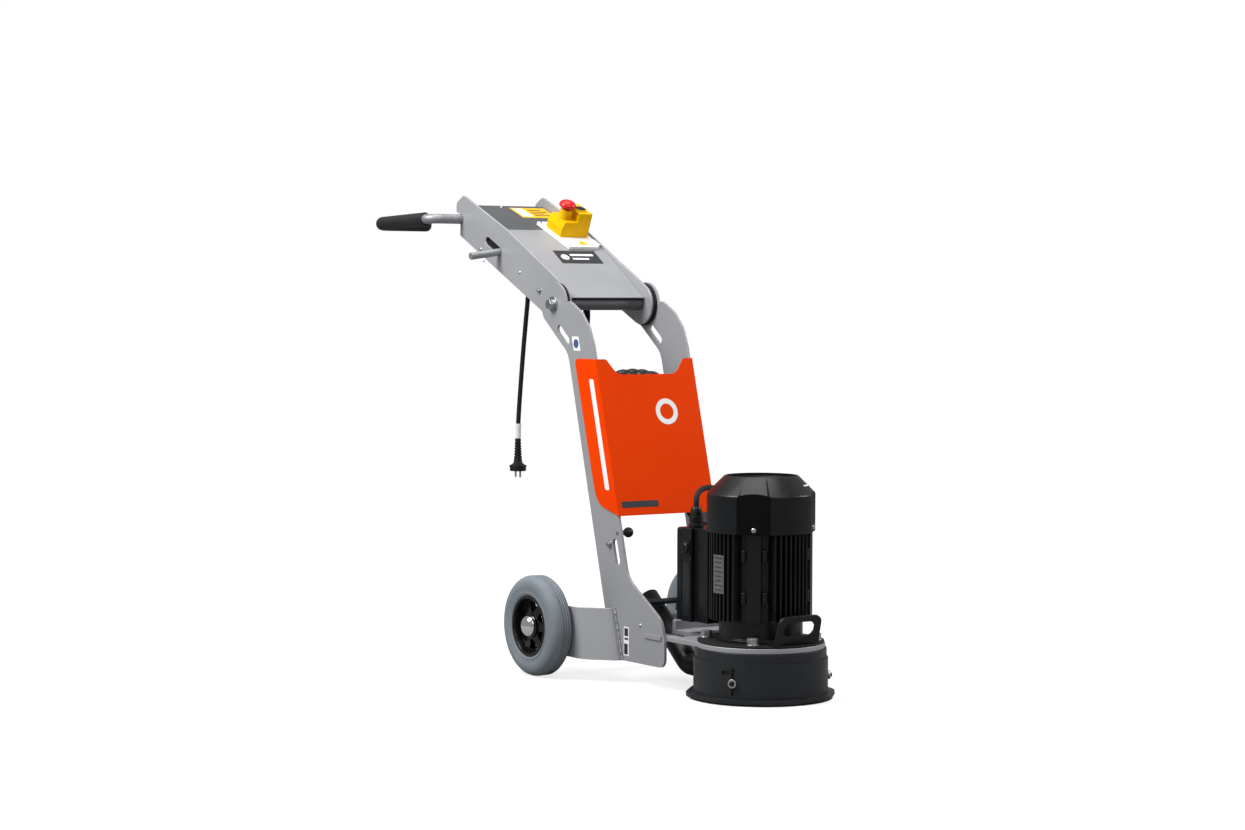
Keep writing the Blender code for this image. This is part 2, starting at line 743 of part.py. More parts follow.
def make_wheels():
    """Tyres and one-piece rims with domed caps, on a fixed through axle."""
    bore = AXLE_RADIUS + GAP
    cap_base = TYRE_WIDTH - 0.005
    axle_end = WHEEL_INNER_X + cap_base - 0.006
    add("axle", rod((-axle_end, AXLE_Y, WHEEL_RADIUS), (axle_end, AXLE_Y, WHEEL_RADIUS), AXLE_RADIUS), "steel")
    dome = [(0.0, cap_base + CAP_HEIGHT)]
    for k in range(1, 4):
        angle = k * math.pi / 6
        dome.append((CAP_RADIUS * math.sin(angle), cap_base + CAP_HEIGHT * math.cos(angle)))
    rim = dome + [
        (HUB_RADIUS + 0.003, cap_base - 0.012),
        (0.048, 0.030),
        (0.0565, 0.0465),
        (RIM_RADIUS, 0.0465),
        (RIM_RADIUS, 0.0035),
        (0.0565, 0.0035),
        (0.048, 0.020),
        (HUB_RADIUS, 0.012),
        (HUB_RADIUS, -0.0012),
        (bore, -0.0012),
        (bore, cap_base - 0.004),
        (0.0, cap_base - 0.004),
    ]
    seat = RIM_RADIUS + GAP
    tread = TYRE_WIDTH / 2
    tyre = [
        (seat, 0.004),
        (WHEEL_RADIUS - 0.020, 0.0),
        (WHEEL_RADIUS - 0.006, 0.0025),
        (WHEEL_RADIUS - 0.001, 0.0100),
        (WHEEL_RADIUS, tread),
        (WHEEL_RADIUS - 0.001, TYRE_WIDTH - 0.0100),
        (WHEEL_RADIUS - 0.006, TYRE_WIDTH - 0.0025),
        (WHEEL_RADIUS - 0.020, TYRE_WIDTH),
        (seat, TYRE_WIDTH - 0.004),
    ]
    for side, word in ((-1, "right"), (1, "left")):
        body = "wheel_" + word
        centre = (side * WHEEL_INNER_X, AXLE_Y, WHEEL_RADIUS)
        add("rim_" + word, turned(rim, centre, (side, 0, 0), 28), "motor_black", body)
        add("tyre_" + word, turned(tyre, centre, (side, 0, 0), 28), "tyre_grey", body)


# grinding head


def make_shroud():
    lip = PLATE_BOTTOM - GAP
    profile = [
        (SHROUD_INNER, SHROUD_BOTTOM),
        (SHROUD_OUTER, SHROUD_BOTTOM),
        (SHROUD_OUTER, lip),
        (SHROUD_OUTER - 0.030, lip),
        (SHROUD_OUTER - 0.030, lip - 0.004),
        (SHROUD_INNER, lip - 0.004),
    ]
    ring = add("shroud_ring", turned(profile, steps=LARGE_STEPS), "motor_black")
    port = rod((0.0, SHROUD_INNER - 0.02, PIPE_Z), (0.0, SHROUD_OUTER + 0.02, PIPE_Z), PIPE_RADIUS - PIPE_WALL)
    cut(ring, port)


PIPE_RADIUS = 0.0225
PIPE_WALL = 0.0025
PIPE_Z = 0.038
PIPE_BEND_Y = 0.2460
PIPE_BEND_RADIUS = 0.040
PIPE_END = (0.3965, 0.1634)


def make_suction_pipe():
    line = bent(
        [
            (0.0, SHROUD_OUTER + 0.0008, PIPE_Z, 0.0),
            (0.0, PIPE_BEND_Y, PIPE_Z, PIPE_BEND_RADIUS),
            (0.0, PIPE_END[0], PIPE_END[1], 0.0),
        ]
    )
    tube("suction_pipe", line, PIPE_RADIUS, "black_plastic", "frame", wall=PIPE_WALL, resolution=4)


def rear_gap():
    """The opening that lets the skirt rise past the suction pipe."""
    half = PIPE_RADIUS + 0.002
    return block((-half, SHROUD_OUTER - 0.03, -0.01), (half, FLANGE_REACH + 0.01, SKIRT_TOP + 0.01))


def make_skirt():
    profile = [
        (SKIRT_INNER, FLANGE_BOTTOM),
        (SKIRT_OUTER, FLANGE_BOTTOM),
        (SKIRT_OUTER, SKIRT_TOP),
        (SKIRT_INNER, SKIRT_TOP),
    ]
    skirt = add("skirt", turned(profile, steps=LARGE_STEPS), "black_plastic", "skirt")
    eighth = math.pi / 8
    corner = FLANGE_REACH / math.cos(eighth)
    rim = arc(0.0, 0.0, corner, eighth, eighth + math.tau, 8)[:-1]
    hole = circle(0.0, 0.0, (SKIRT_INNER + SKIRT_OUTER) / 2, LARGE_STEPS)
    join(skirt, prism(rim, FLANGE_BOTTOM + 0.0005, FLANGE_TOP, "Z", [hole]), "skirt")
    cut(skirt, rear_gap(), "skirt")
    for angle in CLAMP_ANGLES:
        width = 2 * (STUD_RADIUS + GAP) + 0.001
        low = CLAMP_HEIGHT - SKIRT_LIFT - width / 2 - 0.0015
        high = SKIRT_TOP - 0.010
        hole = prism(obround(0.0, (low + high) / 2, high - low, width, math.pi / 2), -0.01, 0.01, "Y")
        turn = Matrix.Rotation(angle + math.pi / 2, 4, "Z")
        hole.transform(turn @ Matrix.Translation((0.0, -SKIRT_OUTER, 0.0)))
        cut(skirt, hole, "skirt")
        window = block((-0.0245, -SKIRT_OUTER - 0.01, high - 0.014), (-0.0070, -SKIRT_INNER + 0.01, high - 0.005))
        window.transform(turn)
        cut(skirt, window, "skirt")
    brush_in = SKIRT_OUTER + 0.002
    brush_out = FLANGE_REACH - 0.001
    top = FLANGE_BOTTOM - GAP
    bristles = [(brush_in, BRUSH_BOTTOM), (brush_out, BRUSH_BOTTOM), (brush_out, top), (brush_in, top)]
    brush = add("skirt_brush", turned(bristles, steps=LARGE_STEPS), "rubber", "skirt")
    cut(brush, rear_gap(), "skirt")


def make_clamps():
    """Studs on the shroud with knurled nuts, through the skirt's upright slots."""
    seat = SHROUD_OUTER + GAP
    face = SKIRT_OUTER + GAP
    profile = [
        (0.0, face + 0.0090),
        (0.0045, face + 0.0090),
        (0.0045, face + 0.0055),
        (CLAMP_NUT_RADIUS - 0.001, face + 0.0055),
        (CLAMP_NUT_RADIUS, face + 0.0045),
        (CLAMP_NUT_RADIUS, face),
        (STUD_RADIUS, face),
        (STUD_RADIUS, seat),
        (0.0, seat),
    ]
    for number, angle in enumerate(CLAMP_ANGLES, 1):
        out = (math.cos(angle), math.sin(angle), 0.0)
        add(f"skirt_clamp_{number}", turned(profile, (0.0, 0.0, CLAMP_HEIGHT), out, 16), "zinc")


def make_disc():
    """Shaft and rotor core, hub, and the tool disc with its three diamond segments."""
    core_low = BELL_TOP + 0.0185
    core_high = FRAME_TOP - 0.0207
    hub_top = PLATE_BOTTOM - 0.014
    disc_top = SEGMENT_HEIGHT + DISC_THICKNESS
    shaft = [
        (0.0, COVER_SHOULDER - 0.014),
        (SHAFT_RADIUS, COVER_SHOULDER - 0.014),
        (SHAFT_RADIUS, core_high),
        (STATOR_BORE - GAP, core_high),
        (STATOR_BORE - GAP, core_low),
        (SHAFT_RADIUS, core_low),
        (SHAFT_RADIUS, hub_top - 0.030),
        (0.0, hub_top - 0.030),
    ]
    add("rotor", turned(shaft), "steel", "rotor")
    hub = [
        (SHAFT_RADIUS + GAP, hub_top),
        (0.024, hub_top),
        (0.024, disc_top + 0.024),
        (0.046, disc_top + 0.016),
        (0.046, disc_top + GAP),
        (0.0, disc_top + GAP),
        (0.0, hub_top - 0.030 - GAP),
        (SHAFT_RADIUS + GAP, hub_top - 0.030 - GAP),
    ]
    hub = hub[5::-1] + hub[:5:-1]
    add("disc_hub", turned(hub), "steel", "rotor")
    plate = [
        (0.0, disc_top),
        (DISC_RADIUS, disc_top),
        (DISC_RADIUS, disc_top - DISC_THICKNESS),
        (0.0, disc_top - DISC_THICKNESS),
    ]
    disc = add("grinding_disc", turned(plate, steps=LARGE_STEPS), "steel", "rotor")
    spread = math.radians(24)
    segment = arc(0.0, 0.0, DISC_RADIUS - 0.006, -spread, spread, 6)
    segment += arc(0.0, 0.0, DISC_RADIUS - 0.036, spread, -spread, 6)
    for number in range(3):
        mesh = prism(segment, 0.0, SEGMENT_HEIGHT + DISC_THICKNESS / 2, "Z")
        mesh.transform(Matrix.Rotation(number * math.tau / 3, 4, "Z"))
        join(disc, mesh, "rotor")


def toothed(root, tip, count, width):
    """A round hub's outline with straight blades."""
    half = width / 2
    outline = []
    for k in range(count):
        turn = Matrix.Rotation(k * math.tau / count, 2)
        for u, v in ((math.sqrt(root**2 - half**2), -half), (tip, -half), (tip, half), (math.sqrt(root**2 - half**2), half)):
            outline.append(tuple(turn @ Vector((u, v))))
    return outline


def make_fan():
    low = FRAME_TOP + 0.012
    outline = toothed(0.026, COVER_RADIUS - COVER_WALL - 0.012, 8, 0.003)
    mesh = prism(outline, low, low + 0.034, "Z", [circle(0.0, 0.0, SHAFT_RADIUS + GAP)])
    add("fan", mesh, "black_plastic", "rotor")


def make_bearings():
    for name, low in (("bearing_lower", BELL_TOP - 0.0175), ("bearing_upper", FRAME_TOP - 0.0140)):
        outer = BEARING_RADIUS
        inner = SHAFT_RADIUS + GAP
        race = [(inner, low), (outer, low), (outer, low + 0.013), (inner, low + 0.013)]
        add(name, turned(race), "steel")


def make_motor_bolts():
    """Hex heads on washers through the pad, one on each diagonal."""
    reach = MOTOR_BOLT_CIRCLE / math.sqrt(2)
    for number, (u, v) in enumerate(((-1, -1), (1, -1), (1, 1), (-1, 1)), 1):
        head = circle(u * reach, v * reach, 0.0105, 6)
        washer = circle(u * reach, v * reach, 0.0130, SMALL_STEPS)
        bolt = add(f"motor_bolt_{number}", prism(washer, BELL_BOTTOM, BELL_BOTTOM + 0.0025, "Z"), "zinc")
        join(bolt, prism(head, BELL_BOTTOM + 0.001, BELL_BOTTOM + 0.0105, "Z"))


def make_bell():
    """The motor's lower end casting, with the lower bearing's seat."""
    seat = BEARING_RADIUS + GAP
    profile = [
        (BELL_RADIUS - 0.009, BELL_BOTTOM),
        (BELL_RADIUS + 0.005, BELL_BOTTOM),
        (BELL_RADIUS + 0.005, BELL_BOTTOM + 0.005),
        (BELL_RADIUS, BELL_BOTTOM + 0.007),
        (BELL_RADIUS, BELL_TOP),
        (seat, BELL_TOP),
        (seat, BELL_TOP - 0.0178),
        (SHAFT_RADIUS + 0.006, BELL_TOP - 0.0178),
        (SHAFT_RADIUS + 0.006, BELL_TOP - 0.0208),
        (seat + 0.008, BELL_TOP - 0.0208),
        (seat + 0.008, BELL_TOP - 0.0080),
        (BELL_RADIUS - 0.009, BELL_TOP - 0.0080),
    ]
    add("drive_end_bell", turned(profile, steps=LARGE_STEPS), "motor_black")


def frame_section():
    """Cross-section of the motor frame: eight straight fins on each side and a boss at each corner."""
    outline = []
    first = -(FINS_PER_SIDE - 1) / 2 * FIN_PITCH
    for side in range(4):
        turn = Matrix.Rotation(side * math.tau / 4, 2)
        points = []
        for k in range(FINS_PER_SIDE):
            middle = first + k * FIN_PITCH
            for edge, radii in ((-0.5, (CORE_RADIUS, FIN_RADIUS)), (0.5, (FIN_RADIUS, CORE_RADIUS))):
                v = middle + edge * FIN_WIDTH
                tip = math.sqrt(FIN_RADIUS**2 - middle**2)
                root = math.sqrt(CORE_RADIUS**2 - v**2)
                points += [(root if radius == CORE_RADIUS else tip, v) for radius in radii]
        outline += [tuple(turn @ Vector(point)) for point in points]
        corner = Matrix.Rotation(side * math.tau / 4 + math.pi / 4, 2)
        base = math.sqrt(CORE_RADIUS**2 - BOSS_HALF**2)
        boss = [(base, -BOSS_HALF), (BOSS_RADIUS, -BOSS_HALF), (BOSS_RADIUS, BOSS_HALF), (base, BOSS_HALF)]
        outline += [tuple(corner @ Vector(point)) for point in boss]
    return outline


def make_motor_frame():
    low = BELL_TOP + GAP
    bore = STATOR_RADIUS + GAP
    body = add("motor_frame", prism(frame_section(), low, FRAME_TOP, "Z", [circle(0, 0, bore, LARGE_STEPS)]), "motor_black")
    inner = BEARING_RADIUS + GAP
    outer = (bore + CORE_RADIUS) / 2
    shield = [(inner, FRAME_TOP - 0.0145), (outer, FRAME_TOP - 0.0145), (outer, FRAME_TOP - 0.0005), (inner, FRAME_TOP - 0.0005)]
    join(body, turned(shield, steps=LARGE_STEPS))
    windings = [
        (STATOR_BORE, BELL_TOP + 0.0185),
        (STATOR_RADIUS, BELL_TOP + 0.0185),
        (STATOR_RADIUS, FRAME_TOP - 0.0207),
        (STATOR_BORE, FRAME_TOP - 0.0207),
    ]
    add("stator", turned(windings, steps=LARGE_STEPS), "copper")


def make_fan_cover():
    """A cowl with a cone shoulder, four corner flats and a slotted grille in its mouth."""
    low = FRAME_TOP + 0.0006
    inner = COVER_RADIUS - COVER_WALL
    mouth = COVER_MOUTH
    profile = [
        (inner, low),
        (COVER_RADIUS, low),
        (COVER_RADIUS, COVER_SHOULDER),
        (mouth + 0.003, COVER_TOP),
        (mouth, COVER_TOP),
        (mouth, COVER_TOP - 0.012),
        (inner, COVER_SHOULDER - 0.006),
    ]
    cowl = add("fan_cover", turned(profile, steps=LARGE_STEPS), "motor_black")
    slots = []
    for radius, count, length in ((0.025, 5, 0.018), (0.052, 10, 0.022)):
        for k in range(count):
            angle = (k + 0.5) * math.tau / count
            u = radius * math.cos(angle)
            v = radius * math.sin(angle)
            slots.append(obround(u, v, length, 0.010, angle))
    grille_top = COVER_TOP - 0.0065
    disc = circle(0.0, 0.0, mouth + 0.002, LARGE_STEPS)
    join(cowl, prism(disc, grille_top - 0.003, grille_top, "Z", slots))
    for k in range(4):
        flat = block((COVER_FLAT, -0.06, low - 0.01), (COVER_FLAT + 0.03, 0.06, COVER_TOP))
        flat.transform(Matrix.Rotation((k + 0.5) * math.tau / 4, 4, "Z"))
        cut(cowl, flat)


def make_terminal_box():
    """Wiring box behind the motor, its lid and the cable gland on top."""
    neck_back = BOX_FRONT + BOX_NECK_DEPTH
    box_back = neck_back + BOX_DEPTH
    outline = [
        (-BOX_NECK_HALF, BOX_FRONT),
        (BOX_NECK_HALF, BOX_FRONT),
        (BOX_NECK_HALF, neck_back),
        (BOX_HALF, neck_back),
        (BOX_HALF, box_back),
        (-BOX_HALF, box_back),
        (-BOX_HALF, neck_back),
        (-BOX_NECK_HALF, neck_back),
    ]
    box = add("terminal_box", prism(outline, BOX_BOTTOM, BOX_TOP, "Z"), "motor_black")
    inner = BOX_NECK_HALF - BOX_WALL
    cavity_front = BOX_FRONT + 0.012
    cut(box, block((-inner, cavity_front, BOX_BOTTOM + BOX_WALL), (inner, box_back + 0.01, BOX_TOP - BOX_WALL)))
    lid = box_outline(-BOX_HALF, BOX_BOTTOM, BOX_HALF, BOX_TOP, 0.006)
    add("terminal_lid", prism(lid, box_back + GAP, box_back + GAP + LID_DEPTH, "Y"), "motor_black")
    seat = BOX_TOP + GAP
    gland = [
        (0.0, GLAND_HEIGHT - GAP),
        (0.0080, GLAND_HEIGHT - GAP),
        (0.0115, GLAND_HEIGHT - 0.006),
        (0.0125, 0.024),
        (0.0110, 0.022),
        (0.0110, 0.010),
        (0.0138, 0.009),
        (0.0138, 0.0),
        (0.0, 0.0),
    ]
    add("terminal_gland", turned(gland, (GLAND_X, 0.160, seat), steps=12), "black_plastic")


# console


def console_outline():
    """A straight bar round the pivot, with a break in its top edge, a raised tip and a seat for the handlebar."""
    along = Vector((math.cos(CONSOLE_TILT), math.sin(CONSOLE_TILT)))
    down = Vector((along.y, -along.x))
    pivot = Vector((PIVOT_Y, PIVOT_Z))
    low_start = pivot + down * CONSOLE_END_RADIUS
    low_end = low_start + along * ((BAR_Y + 0.0035 - low_start.x) / along.x)
    seat_radius = BAR_RADIUS + GAP
    rear = BAR_Y + 0.002
    seat_half = math.acos((rear - BAR_Y) / seat_radius)
    seat = arc(BAR_Y, BAR_Z, seat_radius, -seat_half, seat_half - math.tau, 14)
    top_run = Vector(CONSOLE_TOP_BREAK) - pivot
    top_angle = math.atan2(top_run.y, top_run.x) + math.acos(CONSOLE_END_RADIUS / top_run.length)
    low_angle = CONSOLE_TILT - math.pi / 2
    nose = arc(PIVOT_Y, PIVOT_Z, CONSOLE_END_RADIUS, top_angle, low_angle + math.tau, 12)
    outline = rounded(
        [
            (low_end.x, low_end.y, 0.006),
            (rear, BAR_Z - 0.020, 0.0),
            (seat[0][0], seat[0][1], 0.0),
            (seat[-1][0], seat[-1][1], 0.0),
            (rear + 0.018, BAR_Z + 0.017, 0.004),
            (rear + 0.017, CONSOLE_TIP[1] - 0.016, 0.010),
            (CONSOLE_TIP[0] - 0.004, CONSOLE_TIP[1], 0.013),
            (*CONSOLE_TOP_BREAK, 0.080),
            (nose[0][0], nose[0][1], 0.0),
            (nose[-1][0], nose[-1][1], 0.0),
        ]
    )
    outline = outline[:-1] + nose[1:]
    first = outline.index(seat[0])
    return outline[: first + 1] + seat[1:-1] + outline[first + 1 :]


def release_slot():
    middle = Vector(RELEASE_PLACE) + Vector((math.cos(CONSOLE_TILT), math.sin(CONSOLE_TILT))) * RELEASE_SLOT / 2
    return obround(middle.x, middle.y, RELEASE_SLOT + RELEASE_SLOT_WIDTH, RELEASE_SLOT_WIDTH, CONSOLE_TILT)


def make_console_plates():
    bolt = circle(PIVOT_Y, PIVOT_Z, BOLT_RADIUS + GAP)
    for name, side, extra in (("console_plate_right", -1, [release_slot()]), ("console_plate_left", 1, [])):
        mesh = prism(console_outline(), side * CONSOLE_INNER, side * CONSOLE_HALF, "X", [bolt, *extra])
        add(name, mesh, "frame_grey", "console")


def make_console_deck():
    """One sheet bent at the crease and the crest; its top face runs through the named points."""
    corners = []
    for y, z in (DECK_FRONT, DECK_CREASE, DECK_CREST, DECK_REAR):
        lift = DECK_SHEET / 2
        corners.append((y + lift * math.sin(DECK_ANGLE), z - lift * math.cos(DECK_ANGLE), 0.006))
    mesh = prism(ribbon(corners, DECK_SHEET), -DECK_HALF, DECK_HALF, "X")
    add("console_deck", mesh, "deck_grey", "console")


def make_pivot():
    """Cross tube in the console, friction discs between the plates, and a bolt from each side."""
    inner = BOLT_RADIUS + GAP
    half = CONSOLE_INNER - GAP
    profile = [(inner, -half), (PIVOT_TUBE_RADIUS, -half), (PIVOT_TUBE_RADIUS, half), (inner, half)]
    add("pivot_tube", turned(profile, (0.0, PIVOT_Y, PIVOT_Z), (1, 0, 0)), "frame_grey", "console")
    low = CONSOLE_HALF + GAP
    high = SIDE_INNER - GAP
    disc = [(inner, low), (FRICTION_RADIUS, low), (FRICTION_RADIUS, high), (inner, high)]
    face = SIDE_HALF + GAP
    bolt = [
        (0.0, face + 0.0135),
        (0.0100, face + 0.0135),
        (0.0100, face + 0.0025),
        (WASHER_RADIUS, face + 0.0025),
        (WASHER_RADIUS, face),
        (BOLT_RADIUS, face),
        (BOLT_RADIUS, CONSOLE_INNER - 0.030),
        (0.0, CONSOLE_INNER - 0.030),
    ]
    for side, word in ((-1, "right"), (1, "left")):
        centre = (0.0, PIVOT_Y, PIVOT_Z)
        add("friction_disc_" + word, turned(disc, centre, (side, 0, 0), 28), "rubber")
        add("pivot_bolt_" + word, turned(bolt, centre, (side, 0, 0), SMALL_STEPS), "zinc")


def horn_corners(side):
    """One half of the handlebar, from the middle of the machine round to its free end."""
    return [
        (0.0, BAR_Y, BAR_Z, 0.0),
        (side * HORN_X, BAR_Y, BAR_Z, ELBOW_RADIUS),
        (side * HORN_X, HORN_REAR_Y, HORN_REAR_Z, HORN_RADIUS),
        (side * HORN_END_X, HORN_REAR_Y, HORN_REAR_Z, 0.0),
    ]


def make_handlebar():
    half = bent(horn_corners(1))
    tube("handlebar", mirrored(half[:0:-1]) + half, BAR_RADIUS, "steel", "console", wall=BAR_WALL)
    along = (HORN_GRIP_FRONT - BAR_Y) / (HORN_REAR_Y - BAR_Y)
    front = Vector((HORN_X, HORN_GRIP_FRONT, BAR_Z + (HORN_REAR_Z - BAR_Z) * along))
    sleeve = [front] + [point for point in half if point.y > HORN_REAR_Y - HORN_RADIUS - 0.01]
    for word, line in (("right", mirrored(sleeve)), ("left", sleeve)):
        thickness = HORN_GRIP_RADIUS - BAR_RADIUS - GAP
        tube("grip_" + word, line, HORN_GRIP_RADIUS, "rubber", "console", wall=thickness)


def make_release_rod():
    """A rod welded to the block that hides the slot from inside."""
    y, z = RELEASE_PLACE
    block_out = CONSOLE_INNER - GAP
    block_in = block_out - RELEASE_BLOCK_X
    along = Vector((math.cos(CONSOLE_TILT), math.sin(CONSOLE_TILT)))
    middle = Vector((y, z)) + along * 0.027
    outline = obround(middle.x, middle.y, 0.100, 0.034, CONSOLE_TILT)
    slider = add("release_rod", prism(outline, -block_in, -block_out, "X"), "zinc", "release")
    slope = RELEASE_DROP / RELEASE_REACH
    mid_x = (CONSOLE_INNER + CONSOLE_HALF) / 2
    end_x = CONSOLE_HALF + RELEASE_REACH
    outer = (-end_x, y, z - slope * (end_x - mid_x))
    inner = (-block_in - 0.002, y, z + slope * (mid_x - block_in - 0.002))
    join(slider, rod(outer, inner, RELEASE_RADIUS, 16), "release")


def on_deck(mesh):
    """Moves a solid drawn as (x, s, h) on to the deck's middle panel."""
    mesh.transform(Matrix.Translation((0.0, *DECK_CREASE)) @ Matrix.Rotation(DECK_ANGLE, 4, "X"))
    return mesh


def make_switch():
    plate_low = GAP
    base = SWITCH_PLATE_TOP + GAP
    x0, x1 = SWITCH_PLATE_X
    s0, s1 = SWITCH_PLATE_S
    chamfer = 0.016
    outline = rounded(
        [(x0, s0, 0.003), (x1 - chamfer, s0, 0.0), (x1, s0 + chamfer, 0.0), (x1, s1, 0.003), (x0, s1, 0.003)]
    )
    add("switch_plate", on_deck(prism(outline, plate_low, SWITCH_PLATE_TOP, "Z")), "switch_white", "console")
    left, right = HOUSING_X
    section = [
        (left, base),
        (right, base),
        (right, HOUSING_HIGH),
        (HOUSING_SPLIT_X, HOUSING_HIGH),
        (HOUSING_SPLIT_X, HOUSING_LOW),
        (left + 0.006, HOUSING_LOW),
        (left, HOUSING_LOW - 0.016),
    ]
    housing = add("switch_housing", on_deck(prism(section, *HOUSING_S, "Y")), "switch_yellow", "console")
    collar_top = HOUSING_LOW + 0.021
    collar = [(STOP_STEM + GAP, HOUSING_LOW - 0.004), (STOP_COLLAR, HOUSING_LOW - 0.004), (STOP_COLLAR, collar_top), (STOP_STEM + GAP, collar_top)]
    join(housing, on_deck(turned(collar, (*STOP_PLACE, 0.0))), "console")
    stop_floor = HOUSING_LOW - 0.014
    cut(housing, on_deck(rod((*STOP_PLACE, stop_floor), (*STOP_PLACE, collar_top + 0.01), STOP_STEM + GAP)), "console")
    start_floor = HOUSING_HIGH - 0.012
    cut(housing, on_deck(rod((*START_PLACE, start_floor), (*START_PLACE, HOUSING_HIGH + 0.01), START_RADIUS + GAP)), "console")
    head_low = collar_top + STOP_TRAVEL + 0.001
    stop = [
        (0.0, head_low + 0.0155),
        (0.011, head_low + 0.0140),
        (0.017, head_low + 0.0100),
        (STOP_RADIUS, head_low + 0.0050),
        (STOP_RADIUS - 0.004, head_low),
        (STOP_STEM, head_low),
        (STOP_STEM, stop_floor + STOP_TRAVEL + 0.001),
        (0.0, stop_floor + STOP_TRAVEL + 0.001),
    ]
    add("stop_button", on_deck(turned(stop, (*STOP_PLACE, 0.0))), "stop_red", "stop")
    start_low = start_floor + START_TRAVEL + 0.001
    start = [
        (0.0, HOUSING_HIGH + 0.005),
        (START_RADIUS - 0.002, HOUSING_HIGH + 0.0045),
        (START_RADIUS, HOUSING_HIGH + 0.003),
        (START_RADIUS, start_low),
        (0.0, start_low),
    ]
    add("start_button", on_deck(turned(start, (*START_PLACE, 0.0))), "black_plastic", "start")


def make_cable_box():
    """Terminal box under the deck, open upwards, with the mains gland below and the motor gland ahead."""
    x0, x1 = CABLE_BOX_X
    s0, s1 = CABLE_BOX_S
    top = -DECK_SHEET - 2 * GAP
    low = -CABLE_BOX_DEPTH
    wall = CABLE_BOX_WALL
    box = add("cable_box", on_deck(block((x0, s0, low), (x1, s1, top))), "black_plastic", "console")
    cut(box, on_deck(block((x0 + wall, s0 + wall, low + wall), (x1 - wall, s1 - wall, top + 0.01))), "console")
    x, y, z = CORD_ROUTE[0]
    down = [(0.0, 0.034), (0.0120, 0.034), (0.0120, 0.014), (0.0095, 0.010), (0.0080, GAP), (0.0, GAP)]
    join(box, turned(down, (x, y, z), steps=12), "console")
    end = Vector(CABLE_ROUTE[-1])
    into = Vector((0.0, math.cos(DECK_ANGLE), math.sin(DECK_ANGLE)))
    ahead = [(0.0, 0.024), (0.0120, 0.024), (0.0120, 0.010), (0.0080, GAP), (0.0, GAP)]
    join(box, turned(ahead, end, into, 12), "console")


def make_knob():
    """Spring plunger: its pin goes through the right side plate."""
    y, z = KNOB_PLACE
    centre = SIDE_HALF - KNOB_CENTRE_X
    profile = [(0.0, centre + KNOB_RADIUS)]
    for k in range(1, 5):
        angle = k * math.radians(34)
        profile.append((KNOB_RADIUS * math.sin(angle), centre + KNOB_RADIUS * math.cos(angle)))
    profile += [
        (0.0055, centre - KNOB_RADIUS - 0.001),
        (0.0055, SIDE_WALL + GAP),
        (KNOB_PIN, SIDE_WALL + GAP),
        (KNOB_PIN, -0.002),
        (0.0, -0.002),
    ]
    add("index_knob", turned(profile, (-SIDE_HALF, y, z), (1, 0, 0), SMALL_STEPS), "black_plastic", "knob")


def make_cords():
    """The free mains lead with its plug, and the motor cable that the machine holds at both ends."""
    tube("mains_cord", flowing(CORD_ROUTE, 0.026), CORD_RADIUS, "rubber", "console")
    tube("motor_cable", flowing(CABLE_ROUTE, 0.030), CABLE_RADIUS, "rubber", "frame", resolution=1)
    x, y, z = CORD_ROUTE[-1]
    top = z - GAP
    plug = [
        (0.0, top),
        (0.0075, top),
        (0.0085, top - 0.017),
        (0.0130, top - 0.020),
        (PLUG_RADIUS, top - 0.022),
        (PLUG_RADIUS, top - 0.031),
        (PLUG_RADIUS - 0.001, top - 0.034),
        (0.0, top - 0.034),
    ]
    body = add("plug", turned(plug, (x, y, 0.0)), "black_plastic", "console")
    for side in (-1, 1):
        pin = rod((x, y + side * 0.0095, top - PLUG_LENGTH), (x, y + side * 0.0095, top - 0.030), 0.0024, 8)
        join(body, pin, "console")


clear_scene()
BODIES = make_bodies()
make_side_plates()
make_base_plate()
make_tie_rod()
make_front_cover()
make_lifting_grip()
make_carry_handle()
make_axle_brackets()
make_wheels()
make_shroud()
make_suction_pipe()
make_skirt()
make_clamps()
make_disc()
make_fan()
make_bearings()
make_bell()
make_motor_bolts()
make_motor_frame()
make_fan_cover()
make_terminal_box()
make_console_plates()
make_console_deck()
make_pivot()
make_handlebar()
make_release_rod()
make_switch()
make_cable_box()
make_knob()
make_cords()
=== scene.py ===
import json
import math
import bpy
import bmesh
from mathutils import Matrix, Vector


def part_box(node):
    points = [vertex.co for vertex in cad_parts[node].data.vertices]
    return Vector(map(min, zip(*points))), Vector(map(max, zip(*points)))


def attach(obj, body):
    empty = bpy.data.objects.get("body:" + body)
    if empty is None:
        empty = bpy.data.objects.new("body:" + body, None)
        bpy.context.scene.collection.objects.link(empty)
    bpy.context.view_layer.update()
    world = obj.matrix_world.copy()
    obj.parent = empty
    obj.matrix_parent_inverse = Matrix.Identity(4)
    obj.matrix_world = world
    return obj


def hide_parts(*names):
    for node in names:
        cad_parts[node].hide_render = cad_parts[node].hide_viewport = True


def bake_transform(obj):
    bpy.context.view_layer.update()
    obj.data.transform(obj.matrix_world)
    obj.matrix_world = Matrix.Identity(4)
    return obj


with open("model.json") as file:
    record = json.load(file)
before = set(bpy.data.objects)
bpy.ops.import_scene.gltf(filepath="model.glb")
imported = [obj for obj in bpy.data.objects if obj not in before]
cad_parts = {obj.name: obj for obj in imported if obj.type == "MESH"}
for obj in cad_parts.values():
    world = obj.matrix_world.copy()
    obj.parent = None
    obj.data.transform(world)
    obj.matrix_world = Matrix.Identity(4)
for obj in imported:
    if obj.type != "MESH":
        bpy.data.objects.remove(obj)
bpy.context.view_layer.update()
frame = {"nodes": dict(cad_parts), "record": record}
record = frame["record"]
bodyOf = {node: body for body, nodes in record["behaviour"]["bodies"].items() for node in nodes}


def middle(node):
    low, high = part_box(node)
    return (low + high) / 2


spindleY = middle("motor_frame").y


